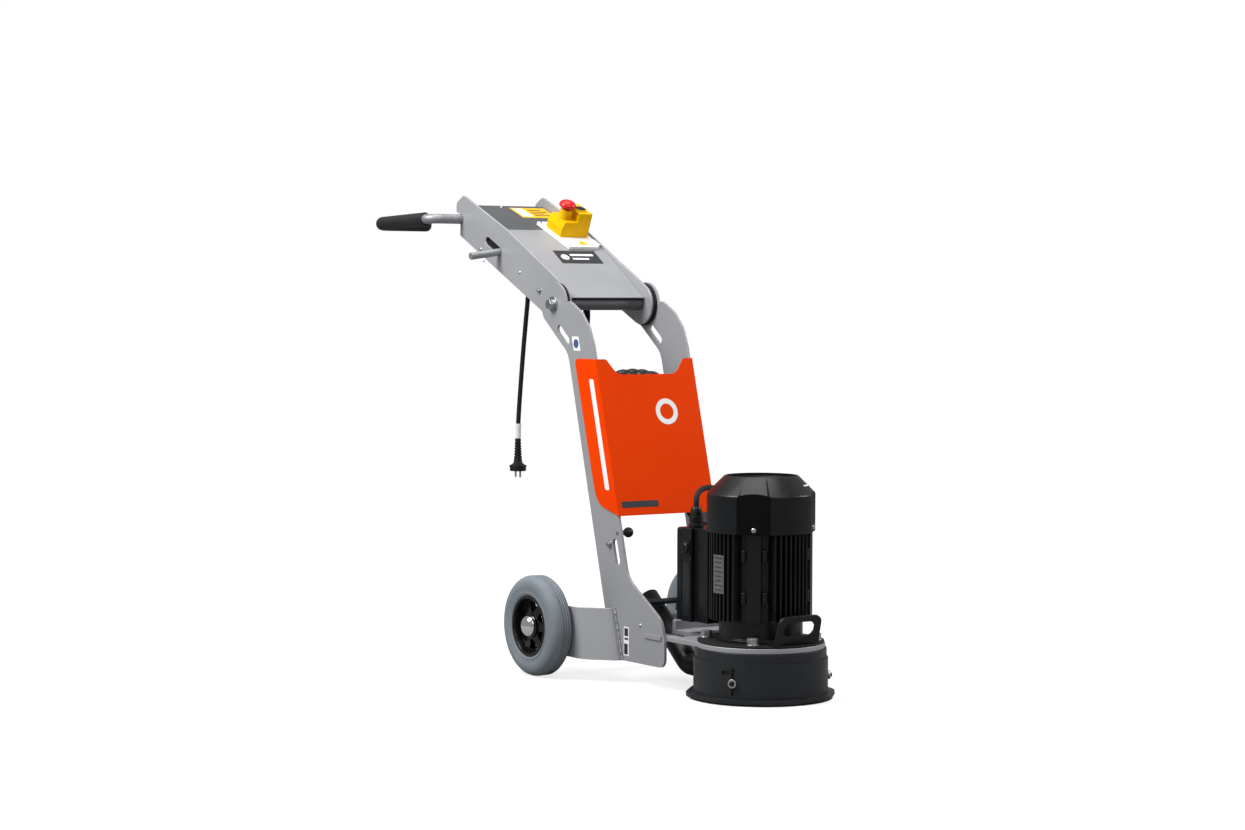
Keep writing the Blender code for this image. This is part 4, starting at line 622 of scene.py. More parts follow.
def makeWheel(word, side):
    low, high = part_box("tyre_" + word)
    radius = (high.z - low.z) / 2
    centre = middle("tyre_" + word)
    width = high.x - low.x
    inner = low.x if side > 0 else high.x
    place = Vector((inner, centre.y, centre.z))
    rimLow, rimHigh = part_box("rim_" + word)
    seat = 0.0648
    out = radius
    profile = [(seat, 0.004), (seat + 0.010, 0.0012), (out - 0.022, 0.0002), (out - 0.012, 0.0010),
               (out - 0.0050, 0.0040), (out - 0.0016, 0.0082)]
    for h in wheelSetup["grooves"]:
        deep = out - wheelSetup["grooveDepth"]
        profile += [(out - 0.0006, h - 0.0022), (out - 0.0010, h - 0.0014), (deep, h - 0.0006),
                    (deep, h + 0.0006), (out - 0.0010, h + 0.0014), (out - 0.0004, h + 0.0022)]
    profile += [(out, 0.0300), (out - 0.0006, 0.0355), (out - 0.0028, 0.0412), (out - 0.0072, 0.0462),
                (out - 0.0125, 0.0488), (out - 0.0200, width),
                (out - 0.0250, width - 0.0004), (out - 0.0262, width - 0.0012), (out - 0.0345,
                        width - 0.0018), (out - 0.0356, width - 0.0008), (seat, width - 0.0030)]
    keep("tyre" + word.title(), turn(profile, place, (side, 0, 0), 128), "wheel_" + word, "tyreRubber",
         ("tyre_" + word,), sharp=32)
    # rim shell with wedge windows between its spokes
    shell = [(0.0093, -0.0012), (0.0205, -0.0012), (0.0215, 0.0125), (0.0480, 0.0205), (0.0560, 0.0050),
             (0.0645, 0.0036), (0.0645, 0.0478),
             (0.0612, 0.0488), (0.0585, 0.0478), (0.0565, 0.0440), (0.0545, 0.0310), (0.0260,
                     0.0390), (0.0260, 0.0440), (0.0093, 0.0440)]
    rim = keep("rim" + word.title(), turn(shell, place, (side, 0, 0), 96), "wheel_" + word, "rimPlastic",
               ("rim_" + word,), edge=0.0006)
    tools = []
    for k in range(wheelSetup["windows"]):
        mesh = bmesh.new()
        points = []
        for r, spread in ((0.0285, 11), (0.0530, 20), (0.0530, -20), (0.0285, -11)):
            a = math.radians(spread) + (k + 0.5) * math.tau / wheelSetup["windows"]
            points.append(mesh.verts.new((0, r * math.cos(a), r * math.sin(a))))
        mesh.faces.new(points)
        roundOff(mesh, mesh.verts[:], 0.0025, 4, "VERTICES")
        grown = bmesh.ops.extrude_face_region(mesh, geom=mesh.faces[:])["geom"]
        bmesh.ops.translate(mesh, vec=(0.06, 0, 0), verts=onlyVerts(grown))
        bmesh.ops.translate(mesh, vec=(-0.005, 0, 0), verts=mesh.verts[:])
        outward(mesh)
        swing = Matrix.Scale(side, 4, (1, 0, 0))
        bmesh.ops.transform(mesh, matrix=Matrix.Translation(place) @ swing, verts=mesh.verts[:])
        outward(mesh)
        tools.append(mesh)
    cutBy(rim, tools)
    capTop = abs((rimHigh.x if side > 0 else rimLow.x) - inner)
    dome = [(0, capTop)]
    for k in range(1, 13):
        a = k * math.pi / 24
        dome.append((0.0232 * math.sin(a), capTop - 0.0150 + 0.0150 * math.cos(a)))
    dome += [(0.0232, capTop - 0.0185), (0.0205, capTop - 0.0185), (0.0195, capTop - 0.0160),
             (0, capTop - 0.0160)]
    keep("hubCap" + word.title(), turn(dome, place, (side, 0, 0), 72), "wheel_" + word, "brightSteel",
         sharp=40)


makeWheel("right", -1)
makeWheel("left", 1)
print("wheels made")


# ---- grinding head ----
headSetup = {"slotAngles": (-150.5, -29.5), "flangeCorner": 0.030}


def makeHead():
    axis = Vector((0, spindleY, 0))
    fromNode("shroud_ring", "shroudPaint", 0.0006)
    low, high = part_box("isolation_pad")
    radius = high.x
    keep("isolationPad", turn([(0.045, low.z), (radius, low.z), (radius, high.z), (0.045, high.z)], axis,
                              (0, 0, 1), 128), "frame", "blackRubber",
         ("isolation_pad",), edge=0.0012, rounds=3)
    # dark band seen through the skirt's slots: painted shade in place of the unlit wall behind them
    shadeBand = [(0.1316, 0.0205), (0.13215, 0.0205), (0.13215, 0.0820), (0.1316, 0.0820)]
    keep("slotShadeBand", turn(shadeBand, axis, (0, 0, 1), 96), "frame", "castPaint")
    mesh = bmesh.new()
    mesh.from_mesh(frame["nodes"]["skirt"].data)
    bmesh.ops.remove_doubles(mesh, verts=mesh.verts[:], dist=0.00001)
    bmesh.ops.dissolve_limit(mesh, angle_limit=math.radians(0.7), verts=mesh.verts[:], edges=mesh.edges[:])
    corners = []
    for edge in mesh.edges:
        a, b = edge.verts[0].co - axis, edge.verts[1].co - axis
        if (a.xy - b.xy).length < 0.0001 and a.xy.length > 0.152 and abs(a.z - b.z) > 0.004:
            corners.append(edge)
    bmesh.ops.bevel(mesh, geom=corners, offset=headSetup["flangeCorner"], offset_type="OFFSET", segments=6,
                    profile=0.5, affect="EDGES", material=-1, clamp_overlap=True)
    keep("skirtSkin", mesh, "skirt", "shroudPaint", ("skirt",), edge=0.0007)
    fromNode("skirt_brush", "blackRubber", 0.0003)
    for node in ("disc_hub", "grinding_disc", "rotor"):
        piece = fromNode(node, "plainSteel", 0.0005)
        if node == "grinding_disc":
            piece.data.materials.append(finish("diamondMetal"))
            for face in piece.data.polygons:
                if face.center.z < 0.0095:
                    face.material_index = 1
    fromNode("fan", "blackPlastic", 0.0003)
    fromNode("stator", "copperWire", 0.0004)
    fromNode("bearing_lower", "brightSteel", 0.0005)
    fromNode("bearing_upper", "brightSteel", 0.0005)
    # clamp nuts on their studs
    for number, angle in enumerate(headSetup["slotAngles"], 1):
        node = f"skirt_clamp_{number}"
        z = middle(node).z
        a = math.radians(angle)
        out = Vector((math.cos(a), math.sin(a), 0))
        start = 0.1323
        stud = [(0, start), (0.0030, start), (0.0030, start + 0.0098), (0.0045, start + 0.0102),
                (0.0045, start + 0.0118), (0, start + 0.0118)]
        keep(f"clampStud{number}", turn(stud, Vector((0, spindleY, z)), out, 24), "frame", "castPaint",
             (node,), edge=0.0004)
        ring = [(0.0046, start + 0.0030), (0.0090, start + 0.0030), (0.0090, start + 0.0085),
                (0.0046, start + 0.0085)]
        keep(f"clampNut{number}", turn(ring, Vector((0, spindleY, z)), out, 40), "frame", "zincPlate",
             edge=0.0010, rounds=3)


makeHead()


def makeSuctionPipe():
    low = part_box("suction_pipe")[0]
    radius = 0.0225
    wall = 0.0025
    corner = at(0, 0.2460, 0.038)
    line = tubePath([(Vector((0, low.y, corner.z)), 0), (corner, 0.032), (at(0, 0.3965, 0.1634), 0)], 0.06)
    run = along("pipeRun", line, radius, None, "blackPlastic", sides=12)
    run.data.use_fill_caps = False
    shell = run.modifiers.new("wall", "SOLIDIFY")
    shell.thickness = wall
    shell.offset = -1
    piece = meshFrom(run, "suctionPipe")
    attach(piece, "frame")
    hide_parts("suction_pipe")


makeSuctionPipe()
fromNode("carry_handle", "castPaint", 0.0020, 3)
print("head made")


# ---- motor ----
motorSetup = {"grilleRings": (0.020, 0.034, 0.048, 0.062), "spokes": 6, "flatHalf": 0.034}


def makeMotor():
    fromNode("motor_frame", "motorPaint", 0.0006)
    axis = Vector((0, spindleY, 0))
    fromNode("drive_end_bell", "motorPaint", 0.0008, sharp=40)
    for number in range(1, 5):
        node = f"motor_bolt_{number}"
        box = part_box(node)
        centre = middle(node)
        foot = Vector((centre.x, centre.y, box[0].z))
        disc = turn([(0, 0), (0.0135, 0), (0.0135, 0.0026), (0, 0.0026)], foot, (0, 0, 1), 48)
        keep(f"motorBoltWasher{number}", disc, "frame", "zincPlate", edge=0.0005)
        keep(f"motorBoltHead{number}", hexagon(0.0205, 0.0120, foot + Vector((0, 0, 0.0026)), (0, 0, 1)),
             "frame", "zincPlate", (node,), edge=0.0009, rounds=3)
    makeCowl(axis)
    makeFrameLugs(axis)


def makeCowl(axis):
    low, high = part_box("fan_cover")
    radius = high.x
    shoulder = 0.409
    mouth = 0.0705
    wall = 0.0095
    profile = [(radius - wall, low.z), (radius, low.z), (radius, shoulder - 0.003),
               (radius - 0.0012, shoulder + 0.0008), (mouth + 0.0042, high.z - 0.0012),
               (mouth + 0.0015, high.z), (mouth, high.z), (mouth, high.z - 0.010), (radius - wall - 0.0008,
                                                                                    shoulder)]
    cowl = keep("fanCowl", turn(profile, axis, (0, 0, 1), 128), "frame", "motorPaint",
                ("fan_cover",), sharp=28)
    depth = math.sqrt(radius ** 2 - motorSetup["flatHalf"] ** 2)
    tools = []
    screws = []
    for k in range(4):
        swing = Matrix.Rotation((k + 0.5) * math.tau / 4, 3, "Z")
        tools.append(slab(0.03, 0.12, 0.18, axis + swing @ Vector((depth + 0.015, 0, 0)) + Vector((0, 0,
                low.z + 0.055)), swing))
        screws.append(swing @ Vector((1, 0, 0)))
    cutBy(cowl, tools)
    # the four flats get the darker copy of the motor paint: painted dark reflection
    cowl.data.materials.append(finish("flatPaintedReflection"))
    for face in cowl.data.polygons:
        side = face.normal.xy.normalized() if face.normal.xy.length > 0.99 else None
        onFlat = abs((face.center - axis).dot(face.normal) - depth) < 0.0005
        if side and abs(abs(side.x) - abs(side.y)) < 0.004 and onFlat:
            face.material_index = 1  # the four corner flats, darker for a painted reflection
    for k, out in enumerate(screws):
        place = axis + out * (depth - 0.0002) + Vector((0, 0, low.z + 0.009))
        dome = turn([(0, 0.0032), (0.0030, 0.0028), (0.0048, 0.0015), (0.0054, 0), (0, 0)], place, out, 32)
        keep(f"cowlScrew{k + 1}", dome, "frame", "zincPlate", sharp=50)
    top = high.z - 0.008
    for k, ring in enumerate(motorSetup["grilleRings"]):
        wire = turn([(ring - 0.0014, top), (ring + 0.0014, top), (ring + 0.0014, top + 0.0024),
                     (ring - 0.0014, top + 0.0024)], axis, (0, 0, 1), 72)
        keep(f"grilleRing{k + 1}", wire, "frame", "motorPaint", edge=0.0004)
    for k in range(motorSetup["spokes"]):
        swing = Matrix.Rotation(k * math.tau / motorSetup["spokes"], 3, "Z")
        bar = slab(0.0602, 0.0030, 0.0024, axis + swing @ Vector((0.0413, 0, 0)) + Vector((0, 0,
                top - 0.0013)), swing)
        keep(f"grilleSpoke{k + 1}", bar, "frame", "motorPaint", edge=0.0004)
    makeArrow(axis, shoulder, radius, mouth, high.z)
    hub = turn([(0, top - 0.0025), (0.0125, top - 0.0025), (0.0125, top + 0.0030), (0, top + 0.0030)], axis,
               (0, 0, 1), 40)
    keep("grilleHub", hub, "frame", "motorPaint", edge=0.0006)


def makeArrow(axis, foot, radius, mouth, top):
    # turning arrow laid on the cone, on the side away from the handlebar
    slope = Vector((radius - mouth - 0.003, 0, foot - top)).normalized()
    mesh = bmesh.new()
    outline = [(-0.026, 0), (-0.013, 0.0062), (-0.015, 0.0018), (0.020, 0.0018), (0.020, -0.0018),
               (-0.015, -0.0018), (-0.013, -0.0062)]
    mesh.faces.new([mesh.verts.new((0, x, y)) for x, y in outline])
    bmesh.ops.subdivide_edges(mesh, edges=[e for e in mesh.edges if e.calc_length() > 0.03], cuts=6)
    grown = bmesh.ops.extrude_face_region(mesh, geom=mesh.faces[:])["geom"]
    bmesh.ops.translate(mesh, vec=(0.0003, 0, 0), verts=onlyVerts(grown))
    middleRadius = mouth + 0.003 + (radius - mouth - 0.003) * 0.52
    height = top - (top - foot) * 0.52
    for vert in mesh.verts:
        rise, sideways, up = vert.co
        a = math.radians(-50) - sideways / middleRadius
        out = middleRadius - up * slope.x + rise * -slope.z + 0.0004
        vert.co = axis + Vector((out * math.cos(a), out * math.sin(a),
                                 height - up * slope.z + rise * slope.x + 0.0002))
    outward(mesh)
    keep("cowlArrow", mesh, "frame", "stickerWhite")


def makeFrameLugs(axis):
    # through-bolt ears on the four corners, two heights
    low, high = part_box("motor_frame")
    for k in range(4):
        swing = Matrix.Rotation((k + 0.5) * math.tau / 4, 3, "Z")
        for j, z in enumerate((low.z + 0.048, high.z - 0.042)):
            for side in (-1, 1):
                place = axis + swing @ Vector((0.0935, side * 0.0205, 0)) + Vector((0, 0, z))
                ear = turn([(0, -0.011), (0.0062, -0.011), (0.0062, 0.011), (0, 0.011)], place, (0, 0, 1), 28)
                keep(f"cornerEar{k + 1}{'low' if j == 0 else 'high'}{'A' if side < 0 else 'B'}", ear, "frame",
                     "motorPaint", edge=0.0012, rounds=3)
    # rating plate with ruled lines only
    face = low.x - 0.0008
    plate = slab(0.0012, 0.034, 0.076, Vector((face + 0.0006, spindleY - 0.002,
                                               (low.z + high.z) / 2 + 0.006)))
    keep("ratingPlate", plate, "frame", "stickerSilver", edge=0.0003)
    for k in range(8):
        line = slab(0.0002, 0.028 - (k % 3) * 0.005, 0.0022, Vector((face - 0.0001, spindleY - 0.002,
                (low.z + high.z) / 2 + 0.038 - k * 0.0090)))
        keep(f"ratingLine{k + 1}", line, "frame", "stickerDark")


makeMotor()


def makeTerminalBox():
    fromNode("terminal_box", "motorPaint", 0.0016, 3)
    fromNode("terminal_lid", "motorPaint", 0.0014, 3)
    low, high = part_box("terminal_lid")
    boxLow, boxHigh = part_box("terminal_box")
    # sunk side panel frame and the blanking plug on it
    y = boxHigh.y - 0.018
    face = boxLow.x
    z = boxHigh.z - 0.040
    keep("plugBoss", slab(0.003, 0.030, 0.034, Vector((face - 0.0014, y, z))), "frame", "motorPaint",
         edge=0.0012, rounds=3)
    keep("boxPanel", slab(0.0008, 0.024, boxHigh.z - boxLow.z - 0.082,
                          Vector((face - 0.0003, y, (boxHigh.z + boxLow.z) / 2 - 0.030))), "frame",
         "shroudPaint", edge=0.0003)
    disc = turn([(0, 0.0042), (0.0085, 0.0042), (0.0095, 0.0034), (0.0120, 0.0034), (0.0125, 0.0024),
                 (0.0125, 0), (0, 0)], Vector((face - 0.0026, y, z)), (-1, 0, 0), 48)
    keep("blankingPlug", disc, "frame", "blackPlastic", edge=0.0004)
    keep("blankingSlot", slab(0.0008, 0.0016, 0.011, Vector((face - 0.0070, y, z))), "frame", "castPaint")
    for yy in (boxHigh.y - 0.033, boxHigh.y - 0.003):
        keep("boxRib" + ("Front" if yy < boxHigh.y - 0.01 else "Rear"),
             slab(0.0016, 0.0030, boxHigh.z - boxLow.z - 0.07,
                  Vector((face - 0.0007, yy, (boxHigh.z + boxLow.z) / 2 - 0.028))), "frame",
             "motorPaint", edge=0.0005)
    for k, (sx, sz) in enumerate(((-1, -1), (1, -1), (1, 1), (-1, 1))):
        place = Vector((sx * (high.x - 0.009), high.y,
                        (low.z + high.z) / 2 + sz * ((high.z - low.z) / 2 - 0.010)))
        keep(f"lidScrew{k + 1}", turn([(0, 0.0022), (0.0030, 0.0020), (0.0042, 0.0010), (0.0044, 0), (0, 0)],
                                      place, (0, 1, 0), 28), "frame", "zincPlate")
    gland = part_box("terminal_gland")
    foot = Vector((middle("terminal_gland").x, middle("terminal_gland").y, gland[0].z))
    makeGland("motorGland", foot, Vector((0, 0, 1)), gland[1].z - gland[0].z, 0.0155, 0.0060, "frame",
              ("terminal_gland",))


def makeGland(name, foot, out, height, radius, hole, body, stands=()):
    keep(name + "Base", hexagon(radius * 1.75, height * 0.20, foot, out), body, "blackPlastic",
         edge=0.0008)
    keep(name + "Nut", hexagon(radius * 1.62, height * 0.30, foot + out * height * 0.27, out), body,
         "blackPlastic", stands, edge=0.0008)
    crown = [(hole, height * 0.10), (radius * 0.76, height * 0.10), (radius * 0.76, height * 0.60),
             (radius * 0.80, height * 0.62), (radius * 0.78, height * 0.78),
             (radius * 0.66, height * 0.93), (radius * 0.56, height), (hole, height)]
    keep(name + "Crown", turn(crown, foot, out, 48), body, "blackPlastic", edge=0.0005)


makeTerminalBox()
print("motor made")


# ---- motor cable, clipped behind the cover and up past the hinge ----
cable = {"radius": 0.0058}
cableRoute = [at(*p) for p in ((-0.045, 0.160, 0.3715), (-0.044, 0.161, 0.386), (-0.036, 0.167, 0.399),
                               (-0.012, 0.181, 0.407), (0.026, 0.202, 0.406),
                               (0.062, 0.228, 0.390), (0.087, 0.256, 0.361), (0.098, 0.292, 0.330), (0.096,
                                       0.332, 0.318), (0.088, 0.366, 0.336),
                               (0.074, 0.384, 0.375), (0.045, 0.403, 0.420), (0.0, 0.430, 0.465), (-0.050,
                                       0.465, 0.510), (-0.080, 0.500, 0.560),
                               (-0.088, 0.530, 0.605), (-0.082, 0.562, 0.640), (-0.062, 0.590,
                                       0.672), (-0.030, 0.612, 0.706), (-0.008, 0.627, 0.738),
                               (0.0, 0.637, 0.772), (0.006, 0.656, 0.816), (0.008, 0.6919, 0.8569), (0.008,
                                       0.7195, 0.8687))]


def makeCable():
    line = flow(cableRoute, 0.007)
    sizes = []
    pivot = middle("pivot_tube")
    for here in line:
        near = abs(here.z - (pivot.z - 0.030))
        # rubber sleeve beside the pivot tube
        sizes.append(1.35 if near < 0.022 and here.y > pivot.y else 1.0)
    run = along("cableRun", line, cable["radius"], None, "blackRubber", sizes=sizes, sides=6)
    solid = meshFrom(run, "motorCableRun")
    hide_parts("motor_cable")
    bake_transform(solid)


makeCable()
print("motor cable run")


# ---- console ----
consoleSetup = {"crestY": 0.825, "slope": math.atan2(0.0455, 0.106)}
deckOrigin = at(0, 0.719, 0.902)
deckTurn = Matrix.Rotation(consoleSetup["slope"], 3, "X")


def onDeck(x, s, h):
    return deckOrigin + deckTurn @ Vector((x, s, h))


def makeConsole():
    for node in ("console_plate_right", "console_plate_left"):
        fromNode(node, "framePaint", 0.0009)
    deck = fromNode("console_deck", "deckPaint", 0.0004)
    deck.data.materials.append(finish("darkPanel"))
    for face in deck.data.polygons:
        if face.center.y > spindleY + consoleSetup["crestY"] + 0.003:
            face.material_index = 1
    low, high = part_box("pivot_tube")
    hub = middle("pivot_tube")
    radius = (high.z - low.z) / 2
    profile = [(0.0063, low.x), (radius, low.x), (radius, high.x), (0.0063, high.x)]
    keep("pivotTube", turn(profile, Vector((0, hub.y, hub.z)), (1, 0, 0), 64), "console", "darkPanel",
         ("pivot_tube",), edge=0.0006)
    fromNode("cable_box", "blackPlastic", 0.0020, 3)
    # screws through the plates and the deck's rear edge
    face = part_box("console_plate_right")[0].x
    for k, (y, z, size) in enumerate(((0.9055, 0.905, 0.0036), (0.7394, 0.8515, 0.0036),
                                      (0.8900, 0.8780, 0.0026))):
        dome = turn([(0, 0.0022), (size * 0.6, 0.0019), (size, 0.0007), (size * 1.05, 0), (0, 0)],
                    Vector((face, spindleY + y, z)), (-1, 0, 0), 28)
        keep(f"plateScrew{k + 1}", dome, "console", "zincPlate")
    boltHead("stopBolt", Vector((face - 0.0001, spindleY + 0.6580, 0.8120)), (-1, 0, 0), 0.008, 0.0036,
             0.0062, "console")
    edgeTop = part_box("console_deck")[1]
    dome = turn([(0, 0.0026), (0.0026, 0.0022), (0.0042, 0.0010), (0.0045, 0), (0, 0)],
                Vector((-0.012, edgeTop.y - 0.010, edgeTop.z - 0.0034)), (0, -0.349, 0.937), 28)
    keep("deckScrew", dome, "console", "zincPlate")


def makeHandlebar():
    low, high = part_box("handlebar")
    radius = 0.011
    barY = at(0, 0.993, 0).y
    barZ = at(0, 0, 0.974).z
    hornX = high.x - radius
    rearY = high.y - radius
    rearZ = 0.9665
    ends = []
    for side in (-1, 1):
        ends.append([(Vector((side * hornX, barY, barZ)), 0.024),
                     (Vector((side * hornX, rearY, rearZ)), 0.035), (Vector((side * 0.0462, rearY, rearZ)),
                                                                     0)])
    left, right = ends
    line = tubePath(left[::-1] + right, 0.06)
    along("handlebarTube", line, radius, "console", "tubeSteel", "steel", ("handlebar",), sides=14)
    for word, corners in (("right", left), ("left", right)):
        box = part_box("grip_" + word)
        startY = box[0].y
        start = corners[0][0].copy()
        start.y = startY
        start.z = barZ + (rearZ - barZ) * (startY - barY) / (rearY - barY)
        path = [(start, 0), corners[1], (corners[2][0], 0)]
        fine = tubePath(path, 0.05)
        dense = []
        for a, b in zip(fine, fine[1:]):
            steps = max(1, int((b - a).length / 0.003))
            dense += [a.lerp(b, k / steps) for k in range(steps)]
        dense.append(fine[-1])
        total = 0
        marks = [0]
        for a, b in zip(dense, dense[1:]):
            total += (b - a).length
            marks.append(total)
        sizes = []
        for m in marks:
            tail = min(1, (total - m) / 0.010)
            head = min(1, m / 0.003)
            sizes.append((0.62 + 0.38 * math.sqrt(max(0, 1 - (1 - tail) ** 2))) * (0.93 + 0.07 * head))
        along("grip" + word.title(), dense, 0.0155, "console", "gripRubber", "rubber", ("grip_" + word,),
              sizes, 12)


def makeRelease():
    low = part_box("release_rod")[0]
    fromNode("release_rod", "blackPlastic", 0.0008)
    y = at(0, 0.825, 0).y
    start = Vector((-0.1000, y, 0.898 + 0.0008))
    end = Vector((low.x - 0.0003, y, 0.898 - 0.0107))
    line = [start.lerp(end, k / 12) for k in range(13)]
    sizes = [1.0] * 13
    along("releaseBar", line, 0.0080, "release", "tubeSteel", "zinc", sizes=sizes, sides=12)


def makeSwitch():
    fromNode("switch_plate", "switchWhite", 0.0012, 3)
    fromNode("switch_housing", "switchYellow", 0.0016, 3)
    up = deckTurn @ Vector((0, 0, 1))
    x, s = 0.033, 0.082
    headLow = 0.043 + 0.021 + 0.006
    dome = [(0, headLow + 0.0155), (0.006, headLow + 0.0152), (0.0115, headLow + 0.0138),
            (0.0158, headLow + 0.0110), (0.0184, headLow + 0.0072),
            (0.0192, headLow + 0.0045), (0.0186, headLow + 0.0018), (0.0160, headLow), (0.0078,
                    headLow), (0.0078, headLow - 0.024), (0, headLow - 0.024)]
    keep("stopMushroom", turn(dome, onDeck(x, s, 0), up, 96), "stop", "stopRed", ("stop_button",),
         sharp=50)
    x2 = 0.069
    cap = [(0, 0.0688), (0.0095, 0.0686), (0.0112, 0.0678), (0.0121, 0.0660), (0.0121, 0.0560), (0, 0.0560)]
    keep("startCap", turn(cap, onDeck(x2, s, 0), up, 64), "start", "blackPlastic",
         ("start_button",), edge=0.0005)
    collar = [(0.0126, 0.0636), (0.0150, 0.0636), (0.0150, 0.0662), (0.0138, 0.0670), (0.0126, 0.0670)]
    keep("startCollar", turn(collar, onDeck(x2, s, 0), up, 64), "console", "switchYellow",
         edge=0.0004)
    # plain marks on the housing, plate and deck
    spin = deckTurn
    keep("housingMark", slab(0.026, 0.0004, 0.030, onDeck(0.069, 0.0549, 0.036), spin, 0.0), "console",
         "stickerYellow")
    for k, (px, ps) in enumerate(((0.013, 0.010), (0.013, 0.140), (0.090, 0.140))):
        screw = turn([(0, 0.0020), (0.0026, 0.0017), (0.0034, 0.0008), (0.0036, 0), (0, 0)],
                     onDeck(px, ps, 0.0080), up, 24)
        keep(f"switchScrew{k + 1}", screw, "console", "zincPlate")
    mesh = bmesh.new()
    tri = [mesh.verts.new(onDeck(tx, ts, 0.0081)) for tx, ts in ((0.040, 0.012), (0.068, 0.012),
                                                                 (0.054, 0.037))]
    mesh.faces.new(tri)
    roundOff(mesh, mesh.verts[:], 0.002, 4, "VERTICES")
    grown = bmesh.ops.extrude_face_region(mesh, geom=mesh.faces[:])["geom"]
    bmesh.ops.translate(mesh, vec=up * 0.0003, verts=onlyVerts(grown))
    outward(mesh)
    keep("plateTriangle", mesh, "console", "stickerYellow")


def deckPoint(x, y, rise=0.0002):
    # on the deck's rear or front panel, at y from the spindle
    crest, rearEdge, crease, foreEdge = Vector((0.825, 0.9475)), Vector((0.982, 1.006)), Vector((0.719,
            0.902)), Vector((0.563, 0.7976))
    a, b = (crest, rearEdge) if y > 0.825 else (foreEdge, crease)
    z = a.y + (y - a.x) / (b.x - a.x) * (b.y - a.y)
    return at(x, y, z + rise)


def makeDeckLabels():
    up = Vector((0, -math.sin(0.356), math.cos(0.356)))
    patch("rearLabel", [deckPoint(0.005, 0.905), deckPoint(0.098, 0.905), deckPoint(0.098, 0.968),
                        deckPoint(0.005, 0.968)], up, "console", "stickerYellow")
    patch("rearLabelWhite", [deckPoint(0.010, 0.912, 0.0006), deckPoint(0.036, 0.912, 0.0006),
                             deckPoint(0.036, 0.962, 0.0006), deckPoint(0.010, 0.962,
                                     0.0006)], up, "console", "stickerWhite")
    for k in range(4):
        y = 0.918 + k * 0.011
        patch(f"rearLabelLine{k + 1}", [deckPoint(0.045, y, 0.0006),
                deckPoint(0.090 - (k % 2) * 0.012, y, 0.0006), deckPoint(0.090 - (k % 2) * 0.012, y + 0.004,
                        0.0006), deckPoint(0.045, y + 0.004, 0.0006)], up, "console",
              "stickerDark")
    down = Vector((0, -math.sin(0.590), math.cos(0.590)))
    patch("foreLabel", [deckPoint(-0.038, 0.674), deckPoint(0.070, 0.674), deckPoint(0.070, 0.722 - 0.006),
                        deckPoint(-0.038, 0.722 - 0.006)], down, "console", "stickerDark")
    patch("foreLabelBar", [deckPoint(-0.002, 0.698, 0.0006), deckPoint(0.058, 0.698, 0.0006),
                           deckPoint(0.058, 0.704, 0.0006), deckPoint(-0.002, 0.704,
                                   0.0006)], down, "console", "stickerWhite")
    patch("foreLabelBarLow", [deckPoint(-0.002, 0.686, 0.0006), deckPoint(0.040, 0.686, 0.0006),
                              deckPoint(0.040, 0.691, 0.0006), deckPoint(-0.002, 0.691,
                                      0.0006)], down, "console", "stickerWhite")
    centre = deckPoint(-0.019, 0.694, 0.0006)
    keep("foreLabelDot", turn([(0, 0), (0.010, 0), (0.010, 0.0003), (0, 0.0003)], centre, down, 40),
         "console", "stickerWhite")


makeConsole()
makeHandlebar()
makeRelease()
makeSwitch()
makeDeckLabels()
print("console made")


# ---- knob and stickers on the column ----
def makeKnob():
    low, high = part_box("index_knob")
    centre = middle("index_knob")
    y, z = centre.y, centre.z
    ball = 0.0108
    place = Vector((high.x - ball, y, z))
    knob = [(0, ball)]
    for k in range(1, 14):
        a = k * math.radians(11)
        knob.append((ball * math.sin(a), ball * math.cos(a)))
    knob += [(0.0050, -0.0105), (0.0050, -0.0125), (0, -0.0125)]
    keep("knobBall", turn(knob, place, (1, 0, 0), 56), "knob", "blackPlastic",
         ("index_knob",), sharp=60)
    stem = [(0, low.x + 0.0005), (0.0040, low.x + 0.0005), (0.0040, high.x - 0.030), (0.0032, high.x - 0.030),
            (0.0032, high.x - 0.020), (0, high.x - 0.020)]
    keep("knobStem", turn(stem, Vector((0, y, z)), (1, 0, 0), 32), "knob", "zincPlate", edge=0.0003)


def makeStickers():
    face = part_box("side_plate_right")[0].x
    x = face - 0.0001

    def tag(name, y, z, width, height, look, rise, round=0.0, lean=0.0):
        c = spindleY + y
        corners = [(x - rise, c - width / 2 - lean, z - height / 2),
                   (x - rise, c + width / 2 - lean, z - height / 2), (x - rise, c + width / 2 + lean,
                           z + height / 2), (x - rise, c - width / 2 + lean, z + height / 2)]
        patch(name, corners, (-1, 0, 0), "frame", look, 0.0002, round)

    tag("columnSticker", 0.4900, 0.7000, 0.026, 0.030, "stickerWhite", 0.0, 0.002, lean=0.004)
    disc = turn([(0, 0), (0.0095, 0), (0.0095, 0.0002), (0, 0.0002)],
                Vector((x - 0.0003, spindleY + 0.4900, 0.7000)), (-1, 0, 0), 40)
    keep("columnStickerDisc", disc, "frame", "stickerBlue")
    tag("toeSticker", 0.2980, 0.0880, 0.019, 0.060, "stickerWhite", 0.0, 0.001)
    tag("toeStickerBand", 0.2980, 0.1070, 0.013, 0.016, "stickerDark", 0.0003, 0.001)
    tag("toeStickerLine", 0.2980, 0.0930, 0.013, 0.004, "stickerDark", 0.0003, 0.0005)
    tag("toeStickerLow", 0.2990, 0.0720, 0.013, 0.022, "stickerDark", 0.0003, 0.001)


makeKnob()
makeStickers()
print("small pieces made")


# ---- studio ----
studio = {"floor": (0.26, 0.26, 0.26), "nearGlow": 0.76, "farGlow": 0.93, "sky": 0.30, "backdrop": 1.0,
          "lamps": (("keyPanel", (-2.0, 0.2, 2.5), 1.3, 98), ("fillPanel", (-0.2, -3.2, 2.6), 1.8, 32),
                    ("sidePanel", (3.0, -1.6, 2.0), 0.9, 40), ("topPanel", (0, -0.2, 3.6), 2.2, 70))}


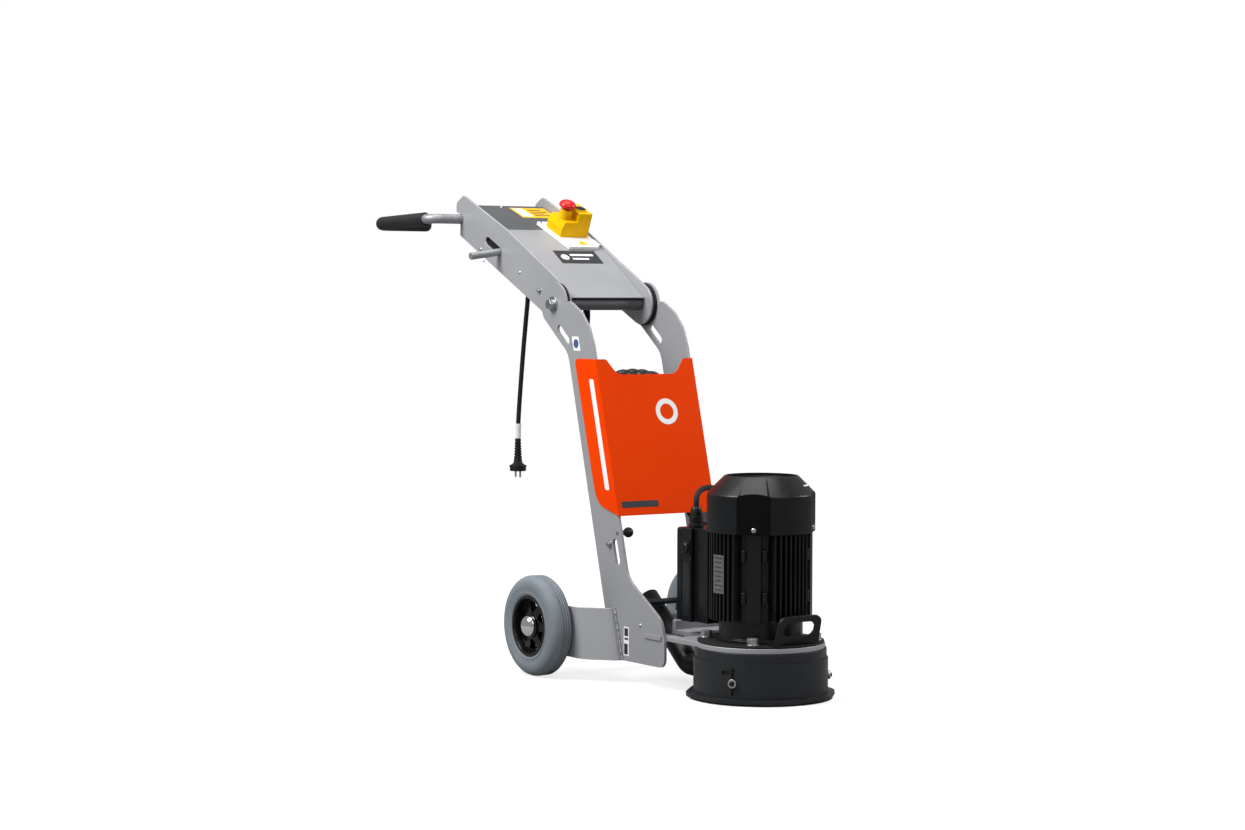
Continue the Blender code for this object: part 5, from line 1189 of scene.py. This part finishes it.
def seenDirectly(nodes, links, elsewhere, direct):
    # one strength where the camera looks straight at it, another for the light it gives
    path = nodes.new("ShaderNodeLightPath")
    span = nodes.new("ShaderNodeMapRange")
    span.inputs["To Min"].default_value = elsewhere
    span.inputs["To Max"].default_value = direct
    links.new(path.outputs["Is Camera Ray"], span.inputs["Value"])
    return span.outputs["Result"]


def makeStudio():
    mesh = bmesh.new()
    bmesh.ops.create_grid(mesh, x_segments=1, y_segments=1, size=60)
    data = bpy.data.meshes.new("studioFloor")
    mesh.to_mesh(data)
    mesh.free()
    floor = bpy.data.objects.new("studioFloor", data)
    floor.location = (0, 0, -0.0002)
    bpy.context.scene.collection.objects.link(floor)
    material = bpy.data.materials.new("studioFloor")
    material.use_nodes = True
    tree = material.node_tree
    shader = tree.nodes["Principled BSDF"]
    shader.inputs["Base Color"].default_value = (*studio["floor"], 1)
    shader.inputs["Roughness"].default_value = 0.9
    shader.inputs["Specular IOR Level"].default_value = 0
    shader.inputs["Emission Color"].default_value = (1, 1, 1, 1)
    place = tree.nodes.new("ShaderNodeTexCoord")
    reach = tree.nodes.new("ShaderNodeVectorMath")
    reach.operation = "LENGTH"
    tree.links.new(place.outputs["Object"], reach.inputs[0])
    fade = tree.nodes.new("ShaderNodeMapRange")
    fade.inputs["From Min"].default_value = 1.0
    fade.inputs["From Max"].default_value = 3.2
    fade.inputs["To Min"].default_value = studio["nearGlow"]
    fade.inputs["To Max"].default_value = studio["farGlow"]
    tree.links.new(reach.outputs["Value"], fade.inputs["Value"])
    glow = tree.nodes.new("ShaderNodeMath")
    glow.operation = "MULTIPLY"
    tree.links.new(fade.outputs["Result"], glow.inputs[0])
    tree.links.new(seenDirectly(tree.nodes, tree.links, 0.0, 1.0), glow.inputs[1])
    tree.links.new(glow.outputs["Value"], shader.inputs["Emission Strength"])
    data.materials.append(material)
    world = bpy.data.worlds.new("studioWorld")
    world.use_nodes = True
    tree = world.node_tree
    back = tree.nodes["Background"]
    back.inputs["Color"].default_value = (1, 1, 1, 1)
    tree.links.new(seenDirectly(tree.nodes, tree.links, studio["sky"], studio["backdrop"]),
                   back.inputs["Strength"])
    bpy.context.scene.world = world
    for name, place, size, power in studio["lamps"]:
        light = bpy.data.lights.new(name, "AREA")
        light.size = size
        light.energy = power
        lamp = bpy.data.objects.new(name, light)
        lamp.location = place
        lamp.rotation_euler = (Vector((0, 0, 0.45)) - Vector(place)).to_track_quat("-Z", "Y").to_euler()
        bpy.context.scene.collection.objects.link(lamp)
    view = bpy.context.scene.view_settings
    view.view_transform = "Standard"
    view.look = "None"


makeStudio()
print("studio lit")
